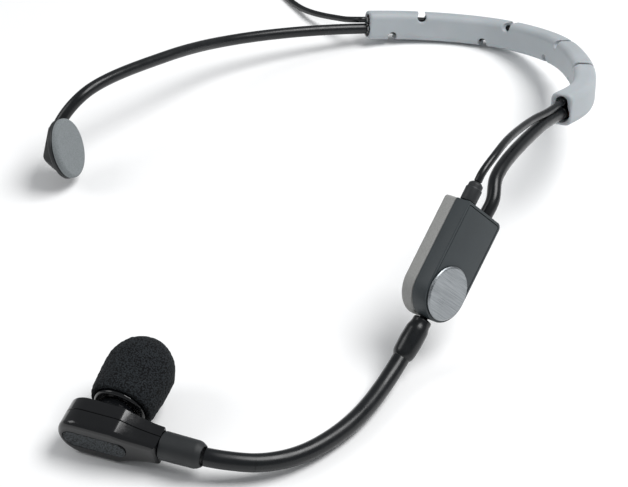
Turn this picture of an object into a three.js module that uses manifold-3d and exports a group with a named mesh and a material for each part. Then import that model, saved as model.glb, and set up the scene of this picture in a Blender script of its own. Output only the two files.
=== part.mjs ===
// Headset microphone: a sprung wire band with a grey neck sleeve, a round temple pad on the right,
// a small electronics housing with its own pad on the left, a gooseneck boom and a cardioid microphone
// under a foam windscreen. It lies on a table as it does when it has just been put down.
// Millimetres, +Z up. The wearer's left is +X and the wearer looks along -Y.
import * as THREE from 'three';
import { mergeVertices } from 'three/addons/utils/BufferGeometryUtils.js';
import Module from 'manifold-3d';

const wasm = await Module();
wasm.setup();

// Band, in the wearer's own axes
const bandHalfWidth = 72.7; // middle plane to the wire above the ear
const bandDepth = 140.1; // bend above the ear to the nape
const wireDiameter = 3.8; // jacket of the band
const coreDiameter = 1.8; // spring steel inside it
const jacketClearance = 0.3; // between them
const armSteps = 34; // how finely each arm is drawn along its length
const restPitch = 10.19; // degrees that the band leans back when it lies on a table
const restRoll = 6.59; // degrees that it leans to the right, away from the boom
const earHeight = 30.6; // middle of the ear bends above the table

// Neck sleeve
const sleeveLength = 168;
const sleeveShift = 37; // middle of the sleeve, measured from the nape towards the boom
const sleeveThickness = 7;
const sleeveHeight = 9.8;
const sleeveBelowWire = 3.6; // bottom of the sleeve to the middle of the wire
const notchDiameter = 3.3;
const notchMouth = 2.4;
const notchPitch = 35;
const firstBottomNotch = 9; // from the sleeve's right-hand end
const firstTopNotch = 20;
const notchPairs = 4;

// Cable
const cableDiameter = 2.2;
const cableGap = 0.3; // between the cable and the wire under it, inside the sleeve
const cableLift = (wireDiameter + cableDiameter) / 2 + cableGap;
const boreClearance = 0.15;
const sleeveClearance = 0.35;
const armGap = 0.6; // the arms start this far outside the sleeve, so that they can flex

// Round temple pad and its holder
const padDiameter = 18.8;
const padThickness = 2.1;
const holderThickness = 1.5;
const bossHeading = 43.5; // degrees from the pad's back edge towards its top, where the wire comes in
const bossReach = 5; // how far the boss stands out behind the holder
const bossWidth = 5.6;

// Housing on the boom side
const housingWidth = 16.3;
const housingTop = 23.9; // top face above the middle of the badge
const housingThickness = 4.8;
const housingWall = 0.75;
const coverThickness = 0.75;
const boomPadThickness = 4.2;
const badgeDiameter = 15;
const badgeThickness = 0.7;
const wireSeat = 3; // where the wire goes in, behind the middle line
const reliefSeat = 6; // where the cable goes in, in front of the middle line
const seatDepth = 2.4; // both of them, below the outer face
const reliefDiameter = 3.9;
const reliefLength = 5.8;
const boardThickness = 0.8;

// Gooseneck
const gooseDiameter = 4.7;
const gooseCoreDiameter = 2;
const collarDiameter = 6.4;
const collarNeck = 5.2;
const collarLength = 13.2;
const collarLean = 5; // degrees forward from the housing's own axis
const collarSeat = 3.2; // axis of the gooseneck below the outer face
const gooseSwing = 22; // degrees each way at each joint

// Microphone
const micHeading = 11; // degrees in plan from the boot's axis to +X
const micTilt = 14; // degrees that the capsule's axis rises
const shellHalfWidth = 6.2;
const shellTip = 11.8; // round end, in front of the capsule's axis
const shellTail = 15.2; // where the boot begins, behind it
const lowerShellDepth = 5;
const upperShellDepth = 4;
const shellWall = 1;
const shellRound = 1.6; // rounding of the lower shell's edge, and its wall there
const bootLength = 11;
const bootDiameter = 7.1;
const neckWall = 1; // of the upper shell's neck, around the capsule
const grilleLength = 17.4;
const grilleWidth = 5.6;
const capsuleDiameter = 9.6;
const capsuleClearance = 0.3;
const collarRingDiameter = 14;
const foamDiameter = 19;
const foamLength = 19.8;

// Spare cable, wound up, and its plug
const coilMiddle = new THREE.Vector2(-57.3, 35); // from the cable's exit
const coilRadius = 12.1; // middle of the turns
const coilWidth = 6.8;
const coilHeight = 8.8;
const plugDiameter = 9.6;
const plugLength = 17;
const plugBootLength = 17;
const plugFront = new THREE.Vector3(-12, 59, 5.1); // front end of the plug's boot, from the cable's exit
const strapGap = 0.45;
const strapThickness = 0.7;
const strapWidth = 4;

const fitGap = 0.15; // between pieces that meet
const turn = Math.PI * 2;
const degrees = THREE.MathUtils.degToRad;
const at = (x, y, z) => new THREE.Vector3(x, y, z);

// Materials
const look = (color, roughness, metalness = 0) =>
  new THREE.MeshStandardMaterial({ color, roughness, metalness });
const looks = {
  elastomer: look('#b9bec2', 0.6),
  jacket: look('#15171a', 0.35),
  spring: look('#8d9092', 0.35, 1),
  satin: look('#41474a', 0.5),
  holder: look('#1b1e20', 0.4),
  foam: look('#85898c', 0.95),
  brushed: look('#aeb1b4', 0.35, 1),
  board: look('#1f5a38', 0.5),
  chip: look('#202224', 0.6),
  capacitor: look('#b08d57', 0.5),
  gloss: look('#121416', 0.15),
  matte: look('#24282b', 0.6),
  grille: look('#2c3033', 0.9),
  windscreen: look('#1d2022', 1),
  gold: look('#c8a24a', 0.3, 1),
  nickel: look('#9b9ea0', 0.3, 1),
  strap: look('#16181a', 0.9),
};

// Solids: a closed geometry becomes a manifold for a cut or a join, and comes back as a geometry
function solid(geometry) {
  const bare = geometry.clone();
  for (const name of ['normal', 'uv']) bare.deleteAttribute(name);
  const merged = mergeVertices(bare, 1e-4);
  return new wasm.Manifold(
    new wasm.Mesh({
      numProp: 3,
      vertProperties: merged.attributes.position.array,
      triVerts: new Uint32Array(merged.index.array),
    }),
  );
}

function geometryOf(manifold) {
  const mesh = manifold.getMesh();
  const geometry = new THREE.BufferGeometry();
  geometry.setAttribute('position', new THREE.BufferAttribute(mesh.vertProperties, 3));
  geometry.setIndex(new THREE.BufferAttribute(mesh.triVerts, 1));
  return geometry;
}

const cut = (geometry, ...tools) =>
  geometryOf(tools.reduce((left, tool) => left.subtract(solid(tool)), solid(geometry)));
const join = (...pieces) =>
  geometryOf(pieces.slice(1).reduce((whole, piece) => whole.add(solid(piece)), solid(pieces[0])));

// Shapes
const disc = (radius, x = 0, y = 0) => new THREE.Shape().absarc(x, y, radius, 0, turn);

function roundedBox(left, right, bottom, top, corner) {
  const shape = new THREE.Shape();
  shape.absarc(right - corner, bottom + corner, corner, -Math.PI / 2, 0);
  shape.absarc(right - corner, top - corner, corner, 0, Math.PI / 2);
  shape.absarc(left + corner, top - corner, corner, Math.PI / 2, Math.PI);
  shape.absarc(left + corner, bottom + corner, corner, Math.PI, Math.PI * 1.5);
  return shape;
}

// Points along an arc whose middle is on the y axis, between two angles in degrees
const arcPoints = (y, radius, from, to, count) => Array.from({ length: count + 1 }, (_, i) => {
  const angle = degrees(from + ((to - from) * i) / count);
  return new THREE.Vector2(radius * Math.cos(angle), y + radius * Math.sin(angle));
});

const slab = (shape, from, to, curveSegments = 5) =>
  new THREE.ExtrudeGeometry(shape, { depth: to - from, bevelEnabled: false, curveSegments }).translate(0, 0, from);

const rod = (radius, length, sides = 12, end = radius) =>
  new THREE.CylinderGeometry(end, radius, length, sides);

// A rod along +Y from one height to another
const upright = (radius, from, to, x, z, sides = 12, end = radius) =>
  rod(radius, to - from, sides, end).translate(x, (from + to) / 2, z);

// A rod along +Z
const standing = (radius, from, to, x, y, sides = 12, end = radius) =>
  rod(radius, to - from, sides, end).rotateX(Math.PI / 2).translate(x, y, (from + to) / 2);

const block = (left, right, front, back, bottom, top) =>
  new THREE.BoxGeometry(right - left, back - front, top - bottom)
    .translate((left + right) / 2, (front + back) / 2, (bottom + top) / 2);

// A turned piece about +Z, from a list of [radius, height] that starts and ends on the axis
const turned = (points, sides = 24) =>
  new THREE.LatheGeometry(points.map(([r, z]) => new THREE.Vector2(r, z)), sides).rotateX(Math.PI / 2);

// A part of a curve between two distances along it, raised by lift, whose section keeps its y axis up
class Stretch extends THREE.Curve {
  constructor(curve, from, to, up = at(0, 0, 1), lift = 0) {
    super();
    Object.assign(this, { curve, up, lift });
    this.length = curve.getLength();
    this.range = [from / this.length, to / this.length];
  }

  getPoint(t, target = new THREE.Vector3()) {
    const [from, to] = this.range;
    return target.copy(this.curve.getPointAt(THREE.MathUtils.clamp(from + (to - from) * t, 0, 1)))
      .addScaledVector(this.up, this.lift);
  }

  computeFrenetFrames(segments) {
    const frames = { tangents: [], normals: [], binormals: [] };
    for (let i = 0; i <= segments; i++) {
      const tangent = this.getTangentAt(i / segments);
      const binormal = this.up.clone().addScaledVector(tangent, -this.up.dot(tangent)).normalize();
      frames.tangents.push(tangent);
      frames.binormals.push(binormal);
      frames.normals.push(binormal.clone().cross(tangent));
    }
    return frames;
  }
}

const sweep = (shape, path, steps, curveSegments) =>
  new THREE.ExtrudeGeometry(shape, { extrudePath: path, steps, curveSegments });

function tube(path, radius, steps, sides = 10, bore = 0) {
  const shape = disc(radius);
  if (bore) shape.holes.push(new THREE.Path().absarc(0, 0, bore, 0, turn, true));
  return sweep(shape, path, steps, sides / 2);
}

// The point of a curve that is nearest to another point, as a distance along it
function distanceTo(curve, point, samples = 2000) {
  let nearest = 0;
  let gap = Infinity;
  for (let i = 0; i <= samples; i++) {
    const d = curve.getPointAt(i / samples).distanceTo(point);
    if (d < gap) [nearest, gap] = [i / samples, d];
  }
  return nearest * curve.getLength();
}

const smooth = (points) => new THREE.CatmullRomCurve3(points, false, 'centripetal');
const mesh = (name, geometry, material) => Object.assign(new THREE.Mesh(geometry, material), { name });

function addTo(group, pieces) {
  for (const [name, geometry, material] of pieces) group.add(mesh(name, geometry, material));
  return group;
}

// A group whose axes are given as three directions
function groupOn(origin, x, y, z) {
  const group = new THREE.Group();
  group.applyMatrix4(new THREE.Matrix4().makeBasis(x, y, z).setPosition(origin));
  return group;
}

const inside = (group, x, y, z) => at(x, y, z).applyMatrix4(group.matrix);

// The wearer's own axes, and how they lie on the table. Their origin is midway between the ear bends.
const worn = new THREE.Group();
worn.rotation.set(-degrees(restPitch), -degrees(restRoll), 0, 'YXZ');
worn.position.z = earHeight;
worn.updateMatrix();
const up = at(0, 0, 1);

// Housing axes: x to its back edge, y to its top, z out from the head
const leftEar = at(bandHalfWidth, 0, 0);
const outward = at(0.966, -0.258, 0.032).normalize();
const along = at(0.138, 0.612, 0.779).projectOnPlane(outward).normalize();
const badgeAt = leftEar.clone().add(at(-0.1, -26.2, -24.6));
const housing = groupOn(badgeAt, along.clone().cross(outward), along, outward);

// Right pad axes: z is the way that the pad faces, into the head
const rightEar = at(-bandHalfWidth, 0, 0);
const padFacing = at(0.914, 0.312, 0.26).normalize();
const padUp = at(0, 0, 1).projectOnPlane(padFacing).normalize();
const padAt = rightEar.clone().add(at(5.2, -13.5, -13.4));
const rightPad = groupOn(padAt, padUp.clone().cross(padFacing), padUp, padFacing);

// The band's wire: both halves follow one shape, given as shares of its half width and depth
const bandShape = [
  [1, 0, 0], [0.942, 0.251, 4.2], [0.901, 0.505, 2.7], [0.681, 0.739, 1.3], [0.374, 0.924, -0.7],
];
const halfBand = (side) => bandShape.map(([x, y, z]) => at(side * x * bandHalfWidth, y * bandDepth, z));
const nape = at(0, bandDepth, -1.8);
const holderBack = -padThickness - fitGap - holderThickness;
const wireDepth = holderBack - 0.2 - wireDiameter / 2;
const padRadius = padDiameter / 2;
const bossAngle = degrees(bossHeading);
const rimPoint = (reach, z) => inside(rightPad, reach * Math.cos(bossAngle), reach * Math.sin(bossAngle), z);
const wireSocket = inside(housing, wireSeat, housingTop - housingWall + fitGap, -seatDepth);
const clampFrom = 13;
const clampTo = 19.5;
const coreEnd = inside(housing, wireSeat, clampFrom - 0.8, -seatDepth);
const band = smooth([
  rimPoint(1.5, wireDepth), rimPoint(padRadius - 0.4, wireDepth + 0.4),
  ...halfBand(-1), nape, ...halfBand(1).reverse(),
  inside(housing, wireSeat, housingTop + 4.5, -seatDepth), wireSocket, coreEnd,
]);
const bandLength = band.getLength();
const wireRadius = wireDiameter / 2;
const cableRadius = cableDiameter / 2;

const sleeveSteps = Math.round(sleeveLength / 6);

// Neck sleeve: a rounded bar with one bore for wire and cable, notched from below and above
const sleeveFrom = distanceTo(band, nape) + sleeveShift - sleeveLength / 2;
const sleeveTo = sleeveFrom + sleeveLength;
const sleeveTop = sleeveHeight - sleeveBelowWire;

function sleeveGeometry() {
  const section = roundedBox(-sleeveThickness / 2, sleeveThickness / 2, -sleeveBelowWire, sleeveTop, 1.6);
  section.holes.push(new THREE.Path([
    ...arcPoints(0, wireRadius + sleeveClearance, -220, 40, 6),
    ...arcPoints(cableLift, cableRadius + sleeveClearance, 0, 180, 4),
  ]));
  const path = new Stretch(band, sleeveFrom, sleeveTo, up);
  const frames = path.computeFrenetFrames(Math.round(sleeveLength));
  const notch = (distance, edge, side) => {
    const i = Math.round(THREE.MathUtils.clamp(distance, 0, sleeveLength));
    const reach = notchDiameter / 2 - 0.35;
    const eye = standing(notchDiameter / 2, -sleeveThickness, sleeveThickness, 0, edge - side * reach, 10);
    const mouth = block(-notchMouth / 2, notchMouth / 2, -2, 2, -sleeveThickness, sleeveThickness)
      .translate(0, edge + side * 0.9, 0);
    const place = new THREE.Matrix4()
      .makeBasis(frames.tangents[i].clone().negate(), frames.binormals[i], frames.normals[i])
      .setPosition(path.getPointAt(i / Math.round(sleeveLength)));
    return join(eye, mouth).applyMatrix4(place);
  };
  const notches = [];
  for (let i = 0; i < notchPairs; i++) {
    notches.push(notch(firstBottomNotch + i * notchPitch, -sleeveBelowWire, -1));
    notches.push(notch(firstTopNotch + i * notchPitch, sleeveTop, 1));
  }
  return cut(sweep(section, path, sleeveSteps, 2), ...notches);
}

// The wire in three lengths that meet near the sleeve's ends, where the arms flex, and the cable beside it
const jacketBore = coreDiameter / 2 + jacketClearance;
const wireParts = {
  pad_arm: { from: 0.4, to: sleeveFrom - armGap, jacketTo: sleeveFrom - armGap, steps: armSteps },
  band: {
    from: sleeveFrom + fitGap, to: sleeveTo - fitGap, jacketTo: sleeveTo - fitGap, steps: sleeveSteps,
  },
  boom_arm: {
    from: sleeveTo + armGap, to: bandLength, jacketTo: distanceTo(band, wireSocket), steps: armSteps,
  },
};
for (const [name, { from, to, jacketTo, steps }] of Object.entries(wireParts)) {
  addTo(worn, [
    [
      `${name}_jacket`,
      tube(new Stretch(band, from, jacketTo, up), wireRadius, steps, 8, jacketBore),
      looks.jacket,
    ],
    [`${name}_core`, tube(new Stretch(band, from, to, up), coreDiameter / 2, steps, 6), looks.spring],
  ]);
}
addTo(worn, [['neck_sleeve', sleeveGeometry(), looks.elastomer]]);
const liftedCable = new Stretch(band, sleeveFrom + fitGap, sleeveTo - fitGap, up, cableLift);
addTo(worn, [[
  'sleeve_cable',
  tube(liftedCable, cableRadius, sleeveSteps, 8),
  looks.jacket,
]]);
const cableExit = band.getPointAt(sleeveFrom / bandLength).addScaledVector(up, cableLift);
const cableEntry = band.getPointAt(sleeveTo / bandLength).addScaledVector(up, cableLift);
const reliefTop = housingTop + reliefLength;
const armCable = smooth([
  cableEntry,
  ...[[-4.3, 40.8, 7.3], [-4, 31, 7.8], [-2.6, 19.2, 8.4], [-0.5, 6.3, 8.7], [1, -3.4, 7.6]]
    .map(([x, y, z]) => leftEar.clone().add(at(x, y, z))),
  inside(housing, -reliefSeat, reliefTop + 3, -seatDepth),
  inside(housing, -reliefSeat, reliefTop + fitGap, -seatDepth),
]);
const armCablePath = new Stretch(armCable, armGap, armCable.getLength(), up);
addTo(worn, [['arm_cable', tube(armCablePath, cableRadius, 24, 8), looks.jacket]]);

// Round temple pad on a thin holder, whose wedge-shaped boss grips the end of the wire
function holderGeometry() {
  const r = padRadius;
  const front = -padThickness - fitGap;
  const plate = turned([[0, holderBack], [r - 0.5, holderBack], [r, holderBack + 0.5], [r, front], [0, front]], 28);
  const wedge = new THREE.Shape([
    [-r * 0.82, 0.05], [r * 0.92, 0.05], [r * 0.84, -bossReach * 0.78],
    [-r * 0.33, -bossReach], [-r * 0.48, -bossReach * 0.78],
  ].map(([x, y]) => new THREE.Vector2(x, y)));
  const boss = slab(wedge, -bossWidth / 2, bossWidth / 2).rotateX(Math.PI / 2)
    .rotateZ(bossAngle).translate(0, 0, holderBack);
  const grip = tube(new Stretch(band, 0, 16, up), wireRadius + jacketClearance, 12, 10);
  const toPad = new THREE.Matrix4().copy(rightPad.matrix).invert();
  return cut(join(plate, boss), grip.applyMatrix4(toPad));
}
addTo(rightPad, [
  ['pad_holder', holderGeometry(), looks.holder],
  ['right_temple_pad', turned([
    [0, -padThickness], [padRadius, -padThickness], [padRadius, -0.4], [padRadius - 0.4, 0], [0, 0],
  ], 28), looks.foam],
]);

// Housing: a tray with a flush cover, round at the bottom and square at the top
function outline(inset, corner = 1.6) {
  const r = housingWidth / 2 - inset;
  const top = housingTop - inset;
  const round = Math.max(corner - inset, 0.3);
  const shape = new THREE.Shape();
  shape.absarc(0, 0, r, Math.PI, turn);
  shape.absarc(r - round, top - round, round, 0, Math.PI / 2);
  shape.lineTo(-r, top);
  return shape;
}
const floor = -housingThickness;
const ledge = -coverThickness - fitGap;
const cavityInset = 2 * housingWall;
const bottom = -housingWidth / 2;
const ferruleRadius = 1.1;
const reliefRadius = reliefDiameter / 2;
const clampScrews = [[0.9, 14.6], [0.9, 17.9], [5.2, 14.6], [5.2, 17.9]];
const clampTop = -seatDepth + coreDiameter / 2 + 0.2;
const clampFloor = floor + housingWall + fitGap;
const boardTop = clampFloor + boardThickness + 0.05;
const chipHeight = 0.95;
const capacitorHeight = 1.05;

addTo(housing, [
  ['housing_tray', cut(
    slab(outline(0), floor, 0, 10),
    slab(outline(housingWall), ledge, 1, 10),
    slab(outline(cavityInset), floor + housingWall, 1, 10),
    upright(wireRadius + boreClearance, housingTop - housingWall, housingTop + 1, wireSeat, -seatDepth),
    upright(coreDiameter / 2 + boreClearance, 18, housingTop, wireSeat, -seatDepth, 8),
    upright(cableRadius + 0.1 + boreClearance, 18, housingTop + 1, -reliefSeat + 0.6, -seatDepth, 8),
    upright(ferruleRadius + sleeveClearance, bottom - 1, bottom + 3, 0, -collarSeat, 10),
    ...clampScrews.map(([x, y]) => standing(0.55, floor + 0.3, floor + 2, x, y, 8)),
  ), looks.satin],
  ['housing_cover', cut(
    slab(outline(housingWall + fitGap), -coverThickness, 0, 10),
    standing(1.1, -2, 1, 0, 0, 10),
  ), looks.satin],
  ['badge', join(
    turned([[0, fitGap], [badgeDiameter / 2, fitGap], [badgeDiameter / 2, badgeThickness + fitGap - 0.2],
      [badgeDiameter / 2 - 0.2, badgeThickness + fitGap], [0, badgeThickness + fitGap]], 32),
    standing(0.95, -coverThickness, fitGap + 0.2, 0, 0, 10),
  ), looks.brushed],
  ['left_temple_pad', cut(
    slab(outline(0), floor - fitGap - boomPadThickness, floor - fitGap, 10),
    upright(collarNeck / 2 + 0.3, bottom - 2, bottom + 1.2, 0, -collarSeat - 0.5, 14),
  ), looks.foam],
  ['circuit_board', block(-5.4, 5.4, -3.6, 11.6, clampFloor, clampFloor + boardThickness), looks.board],
  ['amplifier_chip', block(-3.4, 0.4, 4, 8, boardTop, boardTop + chipHeight), looks.chip],
  ['filter_capacitor', block(1.8, 4.2, 5.2, 7, boardTop, boardTop + capacitorHeight), looks.capacitor],
  ['coupling_capacitor', block(1.8, 4.2, 0.6, 2.4, boardTop, boardTop + capacitorHeight), looks.capacitor],
  ['wire_clamp', cut(
    block(wireSeat - 3, wireSeat + 3, clampFrom, clampTo, clampFloor, clampTop),
    upright(coreDiameter / 2 + boreClearance, clampFrom - 1, clampTo + 1, wireSeat, -seatDepth, 8),
    ...clampScrews.map(([x, y]) => standing(0.55, floor, 0, x, y, 8)),
  ), looks.nickel],
  ['cable_relief', join(
    upright(reliefRadius, housingTop + fitGap, reliefTop, -reliefSeat, -seatDepth, 16, reliefRadius - 0.15),
    upright(cableRadius + 0.1, housingTop - 2.2, housingTop + 1, -reliefSeat + 0.6, -seatDepth, 8),
  ), looks.matte],
]);
clampScrews.filter((_, i) => i % 3 === 0).forEach(([x, y], i) => {
  const shank = standing(0.42, floor + 0.45, clampTop + 0.2, x, y, 8);
  const head = standing(0.75, clampTop + 0.05, clampTop + 0.35, x, y, 10);
  addTo(housing, [[`clamp_screw_${i + 1}`, join(shank, head), looks.nickel]]);
});
worn.add(housing, rightPad);

// Collar at the root of the gooseneck, in its own axes with z down the boom
const root = inside(housing, 0, bottom + 0.55, -collarSeat);
const boomDown = along.clone().negate().applyAxisAngle(outward, degrees(-collarLean));
const collar = groupOn(root, outward.clone().cross(boomDown), outward, boomDown);
collar.matrix.decompose(collar.position, collar.quaternion, collar.scale);
const ballRadius = gooseDiameter / 2;
const collarTop = 1.1;
const collarRadius = collarDiameter / 2;
const collarEnd = collarLength - 0.5;
const ball = (centre) => new THREE.SphereGeometry(ballRadius - 0.05, 12, 8).translate(...centre);
const firstBall = at(0, 0, collarLength - 0.2);
addTo(collar, [['gooseneck_collar', join(
  turned([
    [0, collarTop], [collarNeck / 2, collarTop], [collarNeck / 2, 2.8], [collarRadius - 0.1, 4.2],
    [collarRadius, 8], [collarRadius - 0.2, collarLength - 1.4], [ballRadius - 0.1, collarEnd], [0, collarEnd],
  ], 16),
  rod(ferruleRadius, 3.4, 10).rotateX(Math.PI / 2).translate(0, 0, collarTop - 1.3),
  ball(firstBall),
), looks.jacket]]);
worn.add(collar);

// Everything from the collar onwards is laid out along the table's own axes
worn.updateMatrix();
const boomStart = firstBall.clone().applyMatrix4(collar.matrix).applyMatrix4(worn.matrix);
const boom = new THREE.Group();
boom.position.copy(boomStart);
const boot = at(-19.8, -59.9, 0.6); // the last ball, from the first one
const cupGap = ballRadius * Math.tan(degrees(gooseSwing)) + 0.15; // leaves each joint room to swing
const micForward = at(Math.cos(degrees(micHeading)), Math.sin(degrees(micHeading)), 0);
const gooseneck = smooth([
  at(0, 0, 0), at(0.1, -4.9, -1.7), at(0.4, -10.5, -2.7), at(0.8, -17.7, -3.2), at(0.7, -26, -3.3),
  at(-0.5, -34, -3.3), at(-2.6, -41.5, -3), at(-5.4, -47.6, -2.3), at(-9.8, -53.3, -1.3), at(-15.2, -57.5, -0.1), boot,
  boot.clone().addScaledVector(micForward, -3),
]);
const gooseLength = gooseneck.getLength() - 3;
const gooseJoints = [0, gooseLength / 3, (gooseLength * 2) / 3, gooseLength];

// One length of gooseneck: a cup that turns on the ball before it, and a ball for the next cup
const onGooseneck = (distance) => gooseneck.getPointAt(distance / gooseneck.getLength());
const goosePiece = (from, to, radius, sides) => tube(new Stretch(gooseneck, from, to, up), radius, 8, sides);
const gooseCoreRadius = gooseCoreDiameter / 2;

function gooseSection(from, to) {
  const socket = new THREE.SphereGeometry(ballRadius + 0.15, 12, 8).translate(...onGooseneck(from));
  const bore = goosePiece(from, to - 1.5, gooseCoreRadius + jacketClearance, 6);
  return cut(join(goosePiece(from + cupGap, to, ballRadius, 12), ball(onGooseneck(to))), socket, bore);
}
for (let i = 0; i < 3; i++) {
  const [from, to] = gooseJoints.slice(i, i + 2);
  addTo(boom, [
    [`gooseneck_${i + 1}`, gooseSection(from, to), looks.jacket],
    [`gooseneck_core_${i + 1}`, goosePiece(from + ballRadius + 0.4, to - 1.8, gooseCoreRadius, 6), looks.spring],
  ]);
}

// Microphone axes: x from the tip to the boot, y down through its side, z along the capsule to the mouth
const rise = degrees(micTilt);
const acrossPlan = up.clone().cross(micForward);
const mouthward = acrossPlan.clone().multiplyScalar(Math.cos(rise)).addScaledVector(up, Math.sin(rise));
const bootStart = shellTail + bootLength;
const micAt = boot.clone().addScaledVector(micForward, -bootStart - cupGap);
const mic = groupOn(micAt, micForward, mouthward.clone().cross(micForward), mouthward);

// A rod along +X
const lying = (radius, from, to, sides = 16, end = radius) =>
  rod(radius, to - from, sides, end).rotateZ(-Math.PI / 2).translate((from + to) / 2, 0, 0);

// Plan of the shells: round at the tip, tapering to the boot
function shellPlan(inset) {
  const r = shellHalfWidth - inset;
  const tail = bootDiameter / 2 - inset;
  const end = shellTail - inset;
  const shape = new THREE.Shape();
  shape.moveTo(end, -tail);
  shape.lineTo(end, tail);
  shape.quadraticCurveTo(9, tail + 0.6, 4, r);
  shape.lineTo(shellHalfWidth - shellTip, r);
  shape.absarc(shellHalfWidth - shellTip, 0, r, Math.PI / 2, Math.PI * 1.5);
  shape.lineTo(4, -r);
  shape.quadraticCurveTo(9, -tail - 0.6, end, -tail);
  return shape;
}
const stadium = (length, width) =>
  roundedBox(-length / 2, length / 2, -width / 2, width / 2, width / 2 - 0.01);
const grilleSlab = (length, width, from, to) => slab(stadium(length, width), from, to, 5).translate(-1.4, 0, 0);
const grilleFloor = -lowerShellDepth + 0.6;
const capsuleRadius = capsuleDiameter / 2;
const ringRadius = collarRingDiameter / 2;
const neckRadius = capsuleRadius + neckWall;
const neckTop = upperShellDepth + 2.2;
const ringFrom = neckTop + fitGap;
const ringTo = ringFrom + 2.6;
const capsuleFrom = 1.6;
const capsuleTo = ringTo + 3;
const foamFrom = ringFrom + 0.6;
const bootBore = ballRadius + boreClearance;
const capsuleDisc = (from, to) =>
  turned([[0, from], [capsuleRadius, from], [capsuleRadius, to], [0, to]], 20);

addTo(mic, [
  ['mic_lower_shell', cut(
    new THREE.ExtrudeGeometry(shellPlan(shellRound), {
      depth: 4, bevelThickness: shellRound, bevelSize: shellRound, bevelSegments: 3, curveSegments: 5,
    }).translate(0, 0, shellRound - lowerShellDepth),
    block(-20, 30, -10, 10, 0, 10),
    slab(shellPlan(shellRound), -lowerShellDepth + 1.4, 1, 5),
    grilleSlab(grilleLength, grilleWidth, -lowerShellDepth - 1, grilleFloor),
    grilleSlab(grilleLength - 3, grilleWidth - 2.4, -lowerShellDepth - 1, 0),
    lying(1.3, shellTail - 2, shellTail + 1, 8),
  ), looks.gloss],
  ['mic_upper_shell', cut(
    join(
      slab(shellPlan(0), fitGap, upperShellDepth, 5),
      standing(neckRadius, upperShellDepth - 1, neckTop, 0, 0, 24, neckRadius - 0.6),
    ),
    slab(shellPlan(shellWall), -1, upperShellDepth - 1, 5),
    standing(capsuleRadius + capsuleClearance, -1, neckTop + 1, 0, 0, 20),
    lying(1.3, shellTail - 2, shellTail + 1, 8),
  ), looks.gloss],
  [
    'rear_grille',
    grilleSlab(grilleLength - 2 * fitGap, grilleWidth - 2 * fitGap, -lowerShellDepth + 0.05, grilleFloor - fitGap),
    looks.grille,
  ],
  ['mic_capsule', capsuleDisc(capsuleFrom, capsuleTo), looks.nickel],
  ['capsule_gasket', cut(
    standing(capsuleRadius, capsuleFrom - 1, capsuleFrom - fitGap, 0, 0, 20),
    standing(capsuleRadius - 1.2, -2, capsuleFrom + 1, 0, 0, 20),
  ), looks.matte],
  ['capsule_collar', cut(
    turned([
      [0, ringFrom], [ringRadius - 0.6, ringFrom], [ringRadius, ringFrom + 0.5],
      [ringRadius - 0.2, ringTo - 0.4], [ringRadius - 0.8, ringTo], [0, ringTo],
    ], 28),
    standing(capsuleRadius + capsuleClearance, 0, 20, 0, 0, 20),
  ), looks.gloss],
  ['capsule_screen', capsuleDisc(capsuleTo + fitGap, capsuleTo + 0.6), looks.nickel],
  ['mic_boot', cut(
    lying(bootDiameter / 2, shellTail + fitGap, bootStart, 20, bootDiameter / 2 - 0.6),
    new THREE.SphereGeometry(bootBore, 12, 8).translate(bootStart + cupGap, 0, 0),
    lying(1.2, shellTail - 1, bootStart, 8),
  ), looks.matte],
]);

// Windscreen: a foam ball with a flat bottom, hollow for the capsule and its collar
const foamRadius = foamDiameter / 2;
const foamProfile = [[0, 0], [foamRadius * 0.86, 0], [foamRadius * 0.96, foamLength * 0.16]];
for (let i = 0; i < 8; i++) {
  const angle = (i / 8) * (Math.PI / 2);
  const shoulder = foamLength * 0.42;
  foamProfile.push([foamRadius * Math.cos(angle), shoulder + (foamLength - shoulder) * Math.sin(angle)]);
}
foamProfile.push([0, foamLength]);
addTo(mic, [['windscreen', cut(
  turned(foamProfile, 26).translate(0, 0, foamFrom),
  standing(ringRadius + 0.2, foamFrom - 1, ringTo + 0.2, 0, 0, 24),
  standing(capsuleRadius + 0.3, foamFrom, capsuleTo + 0.9, 0, 0, 10),
), looks.windscreen]]);
boom.add(mic);

// How far the headset itself reaches, and its lowest point, which touches the table
const extent = new THREE.Box3().setFromObject(worn, true).union(new THREE.Box3().setFromObject(boom, true));

// Cord: out of the sleeve's right-hand end, down on to the table, and wound up behind the sleeve.
// Its points are counted from below that end.
const cordExit = cableExit.clone().applyMatrix4(worn.matrix);
const exitHeading = band.getTangentAt(sleeveFrom / bandLength).negate().transformDirection(worn.matrix);
const cord = new THREE.Group();
cord.position.set(cordExit.x, cordExit.y, extent.min.z);
const exitHeight = at(0, 0, cordExit.z - extent.min.z);
const onTable = cableRadius + 0.1;
const coilOuter = coilRadius + coilWidth / 2;
const besideCoil = coilOuter + fitGap + cableRadius + 0.15;
const lead = smooth([
  exitHeight.clone().addScaledVector(exitHeading, armGap),
  exitHeight.clone().addScaledVector(exitHeading, 2.6),
  at(-7.9, -1.4, 7.9), at(-13.5, 0.2, 6.4), at(-20, 2.3, 4.7), at(-26.9, 4.7, 3.2), at(-33.3, 7.8, 1.9),
  at(-39.5, 11.2, 1.3), at(-45.7, 14.9, onTable),
  at(coilMiddle.x + 4.5, coilMiddle.y - besideCoil, onTable),
]);
const plugBack = plugFront.x - plugBootLength;
const coilTop = coilHeight - cableRadius;
const strapSlot = strapWidth / 2 + fitGap;
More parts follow.
